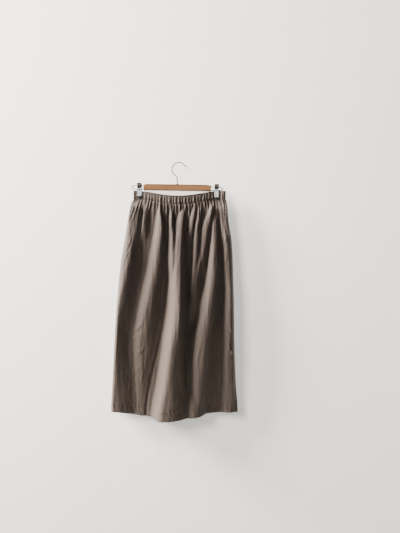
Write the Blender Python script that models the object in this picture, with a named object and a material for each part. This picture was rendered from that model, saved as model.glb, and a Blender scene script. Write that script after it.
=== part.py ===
"""Wrap skirt with a gathered elastic waist, hanging by two clips from a wooden bar hanger.

Sizes are millimetres in the tables and become metres when a mesh is made.
The frame: +Z up, the front faces -Y, +X is the viewer's right. The origin is
the inside top of the hanger's hook, where it hangs.
"""

import math
from collections import namedtuple

import bmesh
import bpy
from mathutils import Vector

MM = 0.001
GAP = 0.3

# Cloth walls and the skirt's lengths
CLOTH = 1.6
HEM_WALL = 2.6
HEM_DEPTH = 25.0
PANEL_LENGTH = 738.0
SIDE_ROUND = 14.0
SIDE_ROUND_TOP = 5.0
SIDE_ROUND_GROWTH = 120.0
HELD_LENGTH = 34.0
PROBE = 0.4

# Waistband: a casing over elastic, pinched by two clips and sagging between them
BAND_WALL = 2.8
BAND_HEIGHT = 33.0
BAND_LEFT = -158.0
BAND_RIGHT = 165.5
BAND_TOP_LEFT = -99.5
BAND_TOP_RIGHT = -96.0
BAND_SAG = 18.0
BAND_SAG_POWER = 1.3
BAND_PINCH = 3.2
BAND_BOW_FRONT = 8.0
BAND_BOW_BACK = 3.5
BAND_BOW_POWER = 0.8
BAND_END_FLARE_LEFT = 1.8
BAND_END_FLARE_RIGHT = 3.6
BAND_FLARE_EASE_LEFT = 8.0
BAND_FLARE_EASE_RIGHT = 12.0
BAND_END_ROUND = 6.0
BAND_END_MARGIN = 3.0
BAND_GATHER = 0.6
BAND_SWELL_MARGIN = 6.0
BAND_ROWS = (0.0, 9.0, 24.0, 33.0)

# Gathers on the front and as many on the back
GATHERS = 28
GATHER_START = 0.05
GATHER_END = 0.97
GATHER_HEIGHT = 3.4
GATHER_FALL = 34.0
GATHER_SHIFT = 0.26
GATHER_SHIFT_BEAT = 2.4
GATHER_HEIGHT_SPREAD = 0.22
GATHER_HEIGHT_BEAT = 2.1
GATHER_FALL_SPREAD = 0.45
GATHER_FALL_BEAT = 1.7
BACK_SHIFT = 1.0

# The lap: gathers at which the two front panels end, and how one dips under the other
LAP_GATHER = 10
UNDERLAP_GATHER = 7
LAP_GAP = 0.5
LAP_OVER = 2.0
LAP_EASE = 12.0

# Fractions of a panel's width at which its two sides have extra columns
LEFT_SIDE_LINES = (0.0, 0.004, 0.014, 0.03)
RIGHT_SIDE_LINES = (0.982, 0.9916, 0.9976, 1.0)

# Distances below the waist seam at which the panels have a ring
PANEL_ROWS = (
    0.0, 10.0, 24.0, 44.0, 72.0, 112.0, 162.0, 222.0, 290.0,
    362.0, 436.0, 512.0, 588.0, 660.0, PANEL_LENGTH - HEM_DEPTH, PANEL_LENGTH,
)

# Outline and plain depth of the cloth at heights below the hook
Section = namedtuple("Section", "z left right front back")
SECTIONS = (
    Section(-128, -159, 168, 9, 5),
    Section(-147, -166, 172, 9, 6),
    Section(-190, -174, 176, 10, 7),
    Section(-225, -179, 181, 11, 8),
    Section(-270, -186, 189, 12, 9),
    Section(-340, -197, 194, 12, 10),
    Section(-410, -204, 197, 12, 11),
    Section(-480, -209, 200, 12, 12),
    Section(-620, -215, 204, 11, 14),
    Section(-760, -220, 211, 9, 15),
    Section(-885, -225, 220, 7, 16),
)

# Where the free edge of the lapped side panel lies
Edge = namedtuple("Edge", "z x")
LAP_EDGE = (
    Edge(-128, -36),
    Edge(-340, -33),
    Edge(-480, -42),
    Edge(-620, -61),
    Edge(-700, -79),
    Edge(-790, -97),
    Edge(-885, -107),
)

# Each fold is a crest that stands off the plain depth and fades to its left and right
Crest = namedtuple("Crest", "z x height left right")
FRONT_FOLDS = {
    "left roll": (
        Crest(-190, -153, 9, 36, 41),
        Crest(-340, -165, 17, 41, 22),
        Crest(-480, -194, 16, 19, 43),
        Crest(-620, -225, 19, 20, 60),
        Crest(-885, -216, 12, 10, 76),
    ),
    "left fold": (
        Crest(-150, -64, 6, 8, 8),
        Crest(-225, -56, 16, 28, 13),
        Crest(-340, -66, 17, 38, 30),
        Crest(-480, -91, 16, 42, 37),
        Crest(-620, -116, 11, 35, 57),
        Crest(-885, -127, 1, 8, 26),
    ),
    "centre fold": (
        Crest(-150, 19, 4, 8, 8),
        Crest(-225, 14, 15, 34, 12),
        Crest(-340, 8, 24, 41, 32),
        Crest(-480, 10, 39, 48, 31),
        Crest(-620, -3, 46, 49, 39),
        Crest(-760, -20, 46, 49, 72),
        Crest(-885, -37, 53, 51, 136),
    ),
    "centre edge": (
        Crest(-440, 7, 0, 19, 26),
        Crest(-540, 27, 4, 27, 11),
        Crest(-620, 27, 10, 25, 10),
        Crest(-700, 26, 9, 23, 10),
        Crest(-770, 33, 5, 19, 8),
        Crest(-830, 43, 0, 22, 21),
    ),
    "right fold": (
        Crest(-150, 134, 3, 22, 12),
        Crest(-225, 125, 8, 8, 26),
        Crest(-340, 128, 18, 25, 30),
        Crest(-480, 116, 27, 35, 37),
        Crest(-620, 98, 36, 67, 40),
        Crest(-885, 82, 24, 46, 31),
    ),
    "right roll": (
        Crest(-190, 171, 7, 14, 20),
        Crest(-340, 173, 10, 18, 35),
        Crest(-480, 192, 17, 43, 27),
        Crest(-620, 196, 18, 70, 30),
        Crest(-885, 194, 7, 41, 13),
    ),
    "left short": (
        Crest(-150, -113, 5, 8, 15),
        Crest(-225, -118, 7, 8, 21),
        Crest(-310, -124, 0, 18, 24),
    ),
    "centre shoulder": (
        Crest(-150, -23, 4, 8, 8),
        Crest(-225, -23, 15, 14, 16),
        Crest(-340, -28, 11, 10, 23),
        Crest(-430, -25, 0, 14, 11),
    ),
    "centre short": (
        Crest(-150, 56, 7, 8, 11),
        Crest(-225, 51, 8, 21, 8),
        Crest(-295, 45, 0, 32, 8),
    ),
    "right long": (
        Crest(-150, 77, 5, 12, 8),
        Crest(-225, 67, 9, 10, 17),
        Crest(-340, 61, 13, 11, 25),
        Crest(-480, 53, 16, 16, 53),
        Crest(-570, 60, 0, 17, 18),
    ),
    "right short": (
        Crest(-150, 117, 9, 10, 10),
        Crest(-225, 102, 8, 24, 17),
        Crest(-340, 87, 9, 16, 17),
        Crest(-410, 83, 0, 19, 28),
    ),
    "pocket fold": (
        Crest(-150, 154, 4, 16, 9),
        Crest(-225, 156, 7, 8, 12),
        Crest(-300, 165, 0, 11, 14),
    ),
}
BACK_FOLDS = {
    "back left roll": (
        Crest(-190, -150, 3, 14, 18),
        Crest(-480, -186, 6, 20, 44),
        Crest(-885, -204, 8, 20, 52),
    ),
    "back left": (
        Crest(-150, -84, 4, 16, 16),
        Crest(-340, -98, 8, 34, 30),
        Crest(-885, -122, 12, 46, 40),
    ),
    "back centre left": (
        Crest(-150, -28, 4, 14, 14),
        Crest(-340, -34, 9, 28, 26),
        Crest(-885, -46, 13, 40, 38),
    ),
    "back centre right": (
        Crest(-150, 34, 4, 14, 14),
        Crest(-340, 36, 8, 28, 30),
        Crest(-885, 38, 11, 42, 44),
    ),
    "back right": (
        Crest(-150, 96, 4, 14, 16),
        Crest(-340, 108, 9, 30, 32),
        Crest(-885, 128, 12, 46, 42),
    ),
    "back short left": (
        Crest(-150, -58, 4, 10, 10),
        Crest(-240, -62, 6, 12, 12),
        Crest(-400, -66, 0, 12, 12),
    ),
    "back short right": (
        Crest(-150, 66, 4, 10, 10),
        Crest(-240, 70, 6, 12, 12),
        Crest(-430, 74, 0, 12, 12),
    ),
}

# Pocket bags: two plies lying together inside the front, beside each side seam
BAG_WALL = 2.2
BAG_CLEAR = 0.6
BAG_TOP = -178.0
BAG_DEPTH = 220.0
BAG_WIDTH = 82.0
BAG_ROUND = 56.0
BAG_SEAM = 15.0
BAG_CORNER = 0.96
BAG_NARROWING = 0.25
BAG_COLUMNS = (0.0, 0.1, 0.25, 0.45, 0.65, 0.8, 0.92, 1.0)
BAG_ROWS = (0.0, 0.15, 0.35, 0.55, 0.7, 0.82, 0.91, 1.0)

# Hanger
BAR_CENTRE = -5.0
BAR_LENGTH = 236.0
BAR_HEIGHT = 22.5
BAR_DEPTH = 12.0
BAR_TOP = -75.5
BAR_BEVEL = 2.0
BAR_TAPER = 2.0
BAR_TAPER_LENGTH = 14.0
EDGE_SEGMENTS = 2
SHARP_ANGLE = math.radians(50.0)
WIRE_RADIUS = 1.5
WIRE_SIDES = 8
HOOK_WIRE_RADIUS = 1.6
HOOK_RADIUS = 24.0
HOOK_ENTER = math.radians(212.0)
HOOK_LEAVE = math.radians(44.0)
HOOK_STEPS = 16
HOOK_BEND = -58.0
HOOK_BEND_RISE = 11.0
HOOK_BEND_REACH = 9.0
HOOK_BEND_STEPS = 7
HOOK_TIP = (11.18, -6.5)
HOOK_TIP_BEND = (3.5, -0.8)
HOOK_TIP_REACH = 4.0
HOOK_TIP_STEPS = 4
LOOP_REACH = 40.0
LOOP_TOP = -82.5
LOOP_BOTTOM = -93.6
LOOP_STEPS = 8
CLIP_LEFT = -137.0
CLIP_RIGHT = 133.5
CLIP_WIDTH = 15.0
CLIP_EASE = 5.0
CLIP_MARGIN = 1.0
CLIP_HOLD_FALL = 12.0
CLIP_PLATE = 1.2
CLIP_TOP = -73.0
CLIP_LIP = 2.0
CLIP_BEND = 4.0
CLIP_HINGE = -84.0
CLIP_BOTTOM = -118.0
CLIP_HANDLE_SPREAD = 8.0
CLIP_HINGE_SPREAD = 3.9
TIP_HEIGHT = 5.0
TIP_PLATE = 2.4
TIP_OVERHANG = 0.4
TIP_BEVEL = 0.5
SPRING_RADIUS = 3.6
SPRING_LENGTH = 11.0
SPRING_SIDES = 14


def smooth(t):
    """Rise from 0 to 1 with level ends."""
    t = min(max(t, 0.0), 1.0)
    return t * t * (3.0 - 2.0 * t)


def slope_at(rows, index, column):
    """Slope of a column at a row, level where the column turns, so a curve never overshoots."""
    if index in (0, len(rows) - 1):
        return 0.0
    before, here, after = rows[index - 1 : index + 2]
    rise_before = (getattr(here, column) - getattr(before, column)) / (here.z - before.z)
    rise_after = (getattr(after, column) - getattr(here, column)) / (after.z - here.z)
    if rise_before * rise_after <= 0.0:
        return 0.0
    return 2.0 * rise_before * rise_after / (rise_before + rise_after)


def along(rows, z, column):
    """A column of a table, read as a smooth curve at height z."""
    if z >= rows[0].z:
        return getattr(rows[0], column)
    if z <= rows[-1].z:
        return getattr(rows[-1], column)
    index = next(i for i in range(len(rows) - 1) if rows[i + 1].z <= z)
    upper, lower = rows[index], rows[index + 1]
    run = lower.z - upper.z
    t = (z - upper.z) / run
    start, end = getattr(upper, column), getattr(lower, column)
    start_slope = slope_at(rows, index, column) * run
    end_slope = slope_at(rows, index + 1, column) * run
    square, cube = t * t, t * t * t
    return (
        start * (2 * cube - 3 * square + 1)
        + start_slope * (cube - 2 * square + t)
        + end * (3 * square - 2 * cube)
        + end_slope * (cube - square)
    )


def hump(t):
    """Section of one fold: 1 on the crest, 0 from t = 1 on."""
    return (1.0 - abs(t) ** 2.5) ** 2 if abs(t) < 1.0 else 0.0


def fold_height(folds, x, z):
    total = 0.0
    for rows in folds.values():
        if z < rows[-1].z and rows[-1].height == 0:
            continue
        offset = x - along(rows, z, "x")
        width = along(rows, z, "left" if offset < 0 else "right")
        if abs(offset) < width:
            total += along(rows, z, "height") * hump(offset / width)
    return total


def side_round(distance, radius):
    """Quarter round by which the cloth turns in to its side seam."""
    if distance >= radius:
        return 1.0
    return math.sqrt(max(0.0, 1.0 - (1.0 - max(distance, 0.0) / radius) ** 2))


def band_x(u):
    return BAND_LEFT + u * (BAND_RIGHT - BAND_LEFT)


def band_top(x):
    """Height of the band's top edge: level at the clips, sagging between them."""
    t = (x - CLIP_LEFT) / (CLIP_RIGHT - CLIP_LEFT)
    level = BAND_TOP_LEFT + (BAND_TOP_RIGHT - BAND_TOP_LEFT) * min(max(t, 0.0), 1.0)
    sag = math.sin(math.pi * t) ** BAND_SAG_POWER if 0.0 < t < 1.0 else 0.0
    return level - BAND_SAG * sag


def band_depth(x, bow):
    """How far the band's outer face stands from the middle plane. It lies flat under the jaws."""
    flat = CLIP_WIDTH / 2.0 + CLIP_EASE
    if x <= CLIP_LEFT:
        spread = BAND_END_FLARE_LEFT * smooth((CLIP_LEFT - flat - x) / BAND_FLARE_EASE_LEFT)
    elif x >= CLIP_RIGHT:
        spread = BAND_END_FLARE_RIGHT * smooth((x - CLIP_RIGHT - flat) / BAND_FLARE_EASE_RIGHT)
    else:
        start, end = CLIP_LEFT + flat, CLIP_RIGHT - flat
        t = min(max((x - start) / (end - start), 0.0), 1.0)
        spread = bow * math.sin(math.pi * t) ** BAND_BOW_POWER
    ends = side_round(min(x - BAND_LEFT, BAND_RIGHT - x), BAND_END_ROUND)
    return (BAND_PINCH + spread) * ends


def gather_edges():
    """Valleys between the gathers, as fractions of the band's width, unevenly spaced."""
    span = GATHER_END - GATHER_START
    edges = [GATHER_START]
    for k in range(1, GATHERS):
        place_along = k + GATHER_SHIFT * math.sin(GATHER_SHIFT_BEAT * k)
        edges.append(GATHER_START + span * place_along / GATHERS)
    return edges + [GATHER_END]


GATHER_EDGES = gather_edges()


def gather_height(u, fall, shift):
    """A gather's rise above the cloth, fading with the distance below the waist seam."""
    if not GATHER_START < u < GATHER_END:
        return 0.0
    k = next(i for i in range(GATHERS) if u <= GATHER_EDGES[i + 1])
    t = (u - GATHER_EDGES[k]) / (GATHER_EDGES[k + 1] - GATHER_EDGES[k])
    swing = math.sin(GATHER_HEIGHT_BEAT * k + shift)
    height = GATHER_HEIGHT * (1.0 - GATHER_HEIGHT_SPREAD * (1.0 - swing))
    length = GATHER_FALL * (1.0 + GATHER_FALL_SPREAD * math.sin(GATHER_FALL_BEAT * k + 2.0 * shift))
    section = (1.0 - math.cos(2.0 * math.pi * t)) / 2.0
    return height * section * math.exp(-((fall / length) ** 2))


def clip_hold(x):
    """1 under a clip's jaw, where the gathers lie flat, falling to 0 beside it."""
    nearest = min(abs(x - CLIP_LEFT), abs(x - CLIP_RIGHT))
    return 1.0 - smooth((nearest - CLIP_WIDTH / 2.0 - CLIP_MARGIN) / CLIP_EASE)


def top_of_panel(u):
    return band_top(band_x(u)) - BAND_HEIGHT - GAP


def cloth_depth(x, z, fall, top_x, side):
    """Distance of the cloth's outer face from the middle plane, without its gathers."""
    folds, base, bow = (
        (FRONT_FOLDS, "front", BAND_BOW_FRONT)
        if side == "front"
        else (BACK_FOLDS, "back", BAND_BOW_BACK)
    )
    left, right = along(SECTIONS, z, "left"), along(SECTIONS, z, "right")
    growth = smooth(fall / SIDE_ROUND_GROWTH)
    radius = SIDE_ROUND_TOP + (SIDE_ROUND - SIDE_ROUND_TOP) * growth
    ends = side_round(min(x - left, right - x), radius)
    free = (along(SECTIONS, z, base) + fold_height(folds, x, z)) * ends
    held_x = min(max(top_x, BAND_LEFT + BAND_END_MARGIN), BAND_RIGHT - BAND_END_MARGIN)
    held = band_depth(held_x, bow) * ends
    return held + (free - held) * smooth(fall / HELD_LENGTH)


Place = namedtuple("Place", "u fall x z top_x")


def place(u, fall, x_at):
    """A point of the cloth before it is given its depth. x_at gives x from u and z."""
    z = top_of_panel(u) - fall
    return Place(u, fall, x_at(u, z), z, band_x(u))


def outer_depth(spot, side):
    depth = cloth_depth(spot.x, spot.z, spot.fall, spot.top_x, side)
    shift = 0.0 if side == "front" else BACK_SHIFT
    held = clip_hold(spot.top_x) * math.exp(-spot.fall / CLIP_HOLD_FALL)
    return depth + gather_height(spot.u, spot.fall, shift) * (1.0 - held)


def cloth_point(spot, side, inward):
    """A point at a distance inside the outer face, square to the cloth's level section."""
    sign = -1.0 if side == "front" else 1.0
    depth = outer_depth(spot, side)
    ahead = cloth_depth(spot.x + PROBE, spot.z, spot.fall, spot.top_x + PROBE, side)
    behind = cloth_depth(spot.x - PROBE, spot.z, spot.fall, spot.top_x - PROBE, side)
    rise = (ahead - behind) / (2.0 * PROBE)
    length = math.hypot(rise, 1.0)
    return Vector((
        spot.x + inward * rise / length,
        sign * (depth - inward / length),
        spot.z,
    ))


def seam_point(spot, side, inward, toward):
    """A point on the side seam: the wall ends square, half a gap from the middle plane."""
    sign = -1.0 if side == "front" else 1.0
    return Vector((spot.x + toward * inward, sign * GAP / 2.0, spot.z))


def across_body(u, z):
    """x of a thread line that starts at fraction u of the waist seam."""
    left, right = along(SECTIONS, z, "left"), along(SECTIONS, z, "right")
    return left + u * (right - left)


def across_front(u, z):
    """x of a thread line of the front. The line that starts at the lap's edge stays on it."""
    lap = GATHER_EDGES[LAP_GATHER]
    edge = along(LAP_EDGE, z, "x")
    if u <= lap:
        left = along(SECTIONS, z, "left")
        return left + u / lap * (edge - left)
    return edge + (u - lap) / (1.0 - lap) * (along(SECTIONS, z, "right") - edge)


def thread_lines(first, last):
    """Fractions at which a panel has a column: the valleys and crests of its gathers and its ends."""
    lines = list(LEFT_SIDE_LINES + RIGHT_SIDE_LINES)
    for k in range(GATHERS):
        lines += [GATHER_EDGES[k], (GATHER_EDGES[k] + GATHER_EDGES[k + 1]) / 2.0]
    lines.append(GATHER_EDGES[-1])
    return sorted(u for u in lines if first - 1e-6 <= u <= last + 1e-6)


def wall_at(fall):
    """Wall thickness: the hem is turned up, so it is thicker."""
    return HEM_WALL if fall >= PANEL_LENGTH - HEM_DEPTH else CLOTH


def new_object(name, bm, material, parent):
    bmesh.ops.recalc_face_normals(bm, faces=bm.faces)
    mesh = bpy.data.meshes.new(name)
    bm.to_mesh(mesh)
    bm.free()
    mesh.materials.append(material)
    obj = bpy.data.objects.new(name, mesh)
    obj.parent = parent
    bpy.context.scene.collection.objects.link(obj)
    return obj


def shell(name, outer, inner, material, parent, ring=False):
    """A closed thin wall from two grids of points, rows from the top down."""
    bm = bmesh.new()
    faces = [[[bm.verts.new(p * MM) for p in row] for row in grid] for grid in (outer, inner)]
    rows, columns = len(outer), len(outer[0])
    last = columns if ring else columns - 1
    for grid in faces:
        for r in range(rows - 1):
            for c in range(last):
                d = (c + 1) % columns
                bm.faces.new((grid[r][c], grid[r][d], grid[r + 1][d], grid[r + 1][c]))
    for r in (0, rows - 1):
        for c in range(last):
            d = (c + 1) % columns
            bm.faces.new((faces[0][r][c], faces[0][r][d], faces[1][r][d], faces[1][r][c]))
    if not ring:
        for c in (0, columns - 1):
            for r in range(rows - 1):
                near, far = faces[0], faces[1]
                bm.faces.new((near[r][c], near[r + 1][c], far[r + 1][c], far[r][c]))
    obj = new_object(name, bm, material, parent)
    obj.data.shade_smooth()
    return obj


def panel(name, lines, x_at, side, seams, sunk, material, parent):
    """A cloth panel. seams names its sides that end in a side seam; sunk is how far it lies inside."""
    outer, inner = [], []
    for fall in PANEL_ROWS:
        wall = wall_at(fall)
        row_out, row_in = [], []
        for u in lines:
            spot = place(u, fall, x_at)
            if u == 0.0 and "left" in seams:
                row_out.append(seam_point(spot, side, 0.0, 1.0))
                row_in.append(seam_point(spot, side, wall, 1.0))
            elif u == 1.0 and "right" in seams:
                row_out.append(seam_point(spot, side, 0.0, -1.0))
                row_in.append(seam_point(spot, side, wall, -1.0))
            else:
                under = sunk(spot)
                row_out.append(cloth_point(spot, side, under))
                row_in.append(cloth_point(spot, side, under + wall))
        outer.append(row_out)
        inner.append(row_in)
    return shell(name, outer, inner, material, parent)


def not_sunk(_spot):
    return 0.0


def under_lap(spot):
    """The main panel dips inward to pass under the side panel, and eases out past its edge."""
    beyond = spot.x - along(LAP_EDGE, spot.z, "x") - LAP_OVER
    return (wall_at(spot.fall) + LAP_GAP) * (1.0 - smooth(beyond / LAP_EASE))


def band_ring(material, parent):
    """The waistband's ring of points: along the front from the left, and back along the rear."""
    lines = thread_lines(0.0, 1.0)
    outer, inner = [], []
    for fall in BAND_ROWS:
        swell = math.sin(math.pi * (fall + BAND_SWELL_MARGIN) / (BAND_HEIGHT + 2.0 * BAND_SWELL_MARGIN))
        row_out, row_in = [], []
        for side, us in (("front", lines), ("back", lines[-2:0:-1])):
            for u in us:
                point, face_in = band_points(u, fall, swell, side)
                row_out.append(point)
                row_in.append(face_in)
        outer.append(row_out)
        inner.append(row_in)
    return shell("waistband", outer, inner, material, parent, ring=True)


def band_points(u, fall, swell, side):
    """Outer and inner point of the band at a fraction of its width."""
    x = band_x(u)
    z = band_top(x) - fall
    sign, bow, shift = (
        (-1.0, BAND_BOW_FRONT, 0.0) if side == "front" else (1.0, BAND_BOW_BACK, BACK_SHIFT)
    )
    if u in (0.0, 1.0):
        toward = 1.0 if u == 0.0 else -1.0
        return Vector((x, 0.0, z)), Vector((x + toward * BAND_WALL, 0.0, z))
    lift = BAND_GATHER * gather_height(u, 0.0, shift) * (1.0 - clip_hold(x)) * swell
    rise = (band_depth(x + PROBE, bow) - band_depth(x - PROBE, bow)) / (2.0 * PROBE)
    length = math.hypot(rise, 1.0)
    depth = band_depth(x, bow) + lift
    point = Vector((x, sign * depth, z))
    face_in = Vector((x + BAND_WALL * rise / length, sign * (depth - BAND_WALL / length), z))
    return point, face_in


def pocket_bag(name, seam, material, parent):
    """A flat bag inside the front, from the side seam inwards, with a round bottom corner."""
    toward = 1.0 if seam == "left" else -1.0
    outer, inner = [], []
    for v in BAG_ROWS:
        row_out, row_in = [], []
        for t in BAG_COLUMNS:
            rounded = BAG_ROUND * (1.0 - math.sqrt(1.0 - BAG_CORNER * t * t))
            z = BAG_TOP - v * (BAG_DEPTH - rounded)
            narrow = BAG_ROUND * BAG_NARROWING * v * v
            x = along(SECTIONS, z, seam) + toward * (BAG_SEAM + t * (BAG_WIDTH - narrow))
            depth = along(SECTIONS, z, "front") * side_round(BAG_SEAM + t * BAG_WIDTH, SIDE_ROUND)
            face = depth - CLOTH - BAG_CLEAR
            row_out.append(Vector((x, -face, z)))
            row_in.append(Vector((x, BAG_WALL - face, z)))
        outer.append(row_out)
        inner.append(row_in)
    return shell(name, outer, inner, material, parent)


def tube(name, points, radius, material, parent):
    """A round wire along a path in one plane, with flat ends."""
    bm = bmesh.new()
    rings = []
    for i, point in enumerate(points):
        ahead = points[min(i + 1, len(points) - 1)]
        behind = points[max(i - 1, 0)]
        tangent = (ahead - behind).normalized()
        across = Vector((0.0, 1.0, 0.0))
        normal = tangent.cross(across).normalized()
        ring = []
        for k in range(WIRE_SIDES):
            angle = 2.0 * math.pi * (k + 0.5) / WIRE_SIDES
            offset = normal * math.cos(angle) + across * math.sin(angle)
            ring.append(bm.verts.new((point + offset * radius) * MM))
        rings.append(ring)
    for first, second in zip(rings, rings[1:]):
        for k in range(WIRE_SIDES):
            m = (k + 1) % WIRE_SIDES
            bm.faces.new((first[k], first[m], second[m], second[k]))
    bm.faces.new(rings[0])
    bm.faces.new(rings[-1])
    obj = new_object(name, bm, material, parent)
    obj.data.shade_smooth()
    obj.data.set_sharp_from_angle(angle=SHARP_ANGLE)
    return obj


def round_edges(bm, size):
    bmesh.ops.bevel(
        bm, geom=bm.edges, offset=size * MM, segments=EDGE_SEGMENTS, profile=0.5, affect="EDGES",
    )


def rounded_box(name, size, centre, bevel, material, parent):
    bm = bmesh.new()
    bmesh.ops.create_cube(bm, size=1.0)
    bmesh.ops.scale(bm, vec=Vector(size) * MM, verts=bm.verts)
    round_edges(bm, bevel)
    obj = new_object(name, bm, material, parent)
    obj.location = Vector(centre) * MM
    return obj


def hanger_bar(material, parent):
    """The wooden bar, a little lower at its two ends."""
    bm = bmesh.new()
    half, shoulder = BAR_LENGTH / 2.0, BAR_LENGTH / 2.0 - BAR_TAPER_LENGTH
    low, high, edge = -BAR_HEIGHT / 2.0, BAR_HEIGHT / 2.0, BAR_HEIGHT / 2.0 - BAR_TAPER
    outline = (
        (-half, edge), (-shoulder, high), (shoulder, high), (half, edge),
        (half, low), (-half, low),
    )
    front = [bm.verts.new((x * MM, -BAR_DEPTH / 2.0 * MM, z * MM)) for x, z in outline]
    face = bm.faces.new(front)
    grown = bmesh.ops.extrude_face_region(bm, geom=[face])
    moved = [v for v in grown["geom"] if isinstance(v, bmesh.types.BMVert)]
    bmesh.ops.translate(bm, vec=(0.0, BAR_DEPTH * MM, 0.0), verts=moved)
    round_edges(bm, BAR_BEVEL)
    obj = new_object("hanger_bar", bm, material, parent)
    obj.location = Vector((BAR_CENTRE, 0.0, BAR_TOP - BAR_HEIGHT / 2.0)) * MM
    return obj


def bezier(start, control_a, control_b, end, count):
    points = []
    for i in range(count):
        t = i / count
        s = 1.0 - t
        near = s**3 * start + 3 * s * s * t * control_a
        far = 3 * s * t * t * control_b + t**3 * end
        points.append(near + far)
    return points


def hook_path():
    """Stem up from the bar, a bend out to the left, a round over the top and a tip that opens out."""
    centre = Vector((0.0, 0.0, -(HOOK_RADIUS - HOOK_WIRE_RADIUS)))

    def on_circle(angle):
        return centre + HOOK_RADIUS * Vector((math.cos(angle), 0.0, math.sin(angle)))

    def around(angle):
        return Vector((math.sin(angle), 0.0, -math.cos(angle)))

    foot = Vector((BAR_CENTRE, 0.0, BAR_TOP + GAP))
    bend = Vector((BAR_CENTRE, 0.0, HOOK_BEND))
    start = on_circle(HOOK_ENTER)
    rise = Vector((0.0, 0.0, HOOK_BEND_RISE))
    reach = around(HOOK_ENTER) * HOOK_BEND_REACH
    path = [foot, (foot + bend) / 2.0]
    path += bezier(bend, bend + rise, start - reach, start, HOOK_BEND_STEPS)
    turn = HOOK_LEAVE - HOOK_ENTER
    path += [on_circle(HOOK_ENTER + turn * i / HOOK_STEPS) for i in range(HOOK_STEPS)]
    top = on_circle(HOOK_LEAVE)
    tip = top + Vector((HOOK_TIP[0], 0.0, HOOK_TIP[1]))
    tip_bend = tip - Vector((HOOK_TIP_BEND[0], 0.0, HOOK_TIP_BEND[1]))
    path += bezier(top, top + around(HOOK_LEAVE) * HOOK_TIP_REACH, tip_bend, tip, HOOK_TIP_STEPS)
    return path + [tip]


def loop_path(outward):
    """A wire loop out of the bar's end, round at its far end."""
    root = BAR_CENTRE + outward * (BAR_LENGTH / 2.0 + GAP)
    radius = (LOOP_TOP - LOOP_BOTTOM) / 2.0
    turn = BAR_CENTRE + outward * (BAR_LENGTH / 2.0 + LOOP_REACH - radius)
    middle = (LOOP_TOP + LOOP_BOTTOM) / 2.0
    path = [Vector((root, 0.0, LOOP_TOP))]
    for i in range(LOOP_STEPS + 1):
        angle = math.pi * (0.5 - i / LOOP_STEPS)
        x = turn + outward * radius * math.cos(angle)
        path.append(Vector((x, 0.0, middle + radius * math.sin(angle))))
    return path + [Vector((root, 0.0, LOOP_BOTTOM))]


def jaw(name, centre, side, material, parent):
    """One bent plate of a clip: a handle at the top, a straight jaw below."""
    sign = -1.0 if side == "front" else 1.0
    grip = BAND_PINCH + GAP
    profile = (
        (CLIP_TOP, CLIP_HANDLE_SPREAD),
        (CLIP_TOP - CLIP_LIP, CLIP_HANDLE_SPREAD),
        (CLIP_HINGE, CLIP_HINGE_SPREAD),
        (LOOP_BOTTOM, CLIP_HINGE_SPREAD),
        (LOOP_BOTTOM - CLIP_BEND, grip),
        (CLIP_BOTTOM, grip),
    )
    outer, inner = [], []
    for z, spread in profile:
        ends = (centre - CLIP_WIDTH / 2.0, centre + CLIP_WIDTH / 2.0)
        outer.append([Vector((x, sign * (spread + CLIP_PLATE), z)) for x in ends])
        inner.append([Vector((x, sign * spread, z)) for x in ends])
    obj = shell(name, outer, inner, material, parent)
    obj.data.set_sharp_from_angle(angle=SHARP_ANGLE)
    return obj


def clip(label, centre, steel, rubber, parent):
    grip = BAND_PINCH + GAP
    for side, sign in (("front", -1.0), ("back", 1.0)):
        jaw(f"clip_{label}_{side}_jaw", centre, side, steel, parent)
        rounded_box(
            f"clip_{label}_{side}_tip",
            (CLIP_WIDTH + TIP_OVERHANG, TIP_PLATE, TIP_HEIGHT),
            (centre, sign * (grip + TIP_PLATE / 2.0), CLIP_BOTTOM - GAP - TIP_HEIGHT / 2.0),
            TIP_BEVEL,
            rubber,
            parent,
        )
    bm = bmesh.new()
    bmesh.ops.create_cone(
        bm, cap_ends=True, segments=SPRING_SIDES,
        radius1=SPRING_RADIUS * MM, radius2=SPRING_RADIUS * MM, depth=SPRING_LENGTH * MM,
    )
    obj = new_object(f"clip_{label}_spring", bm, steel, parent)
    obj.data.shade_smooth()
    obj.data.set_sharp_from_angle(angle=SHARP_ANGLE)
    obj.rotation_euler = (0.0, math.radians(90.0), 0.0)
    obj.location = Vector((centre, 0.0, (LOOP_TOP + LOOP_BOTTOM) / 2.0)) * MM
    return obj


def make_material(name, colour, roughness, metallic=0.0):
    material = bpy.data.materials.new(name)
    material.use_nodes = True
    shader = material.node_tree.nodes["Principled BSDF"]
    shader.inputs["Base Color"].default_value = (*colour, 1.0)
    shader.inputs["Roughness"].default_value = roughness
    shader.inputs["Metallic"].default_value = metallic
    material.diffuse_color = (*colour, 1.0)
    return material


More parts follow.
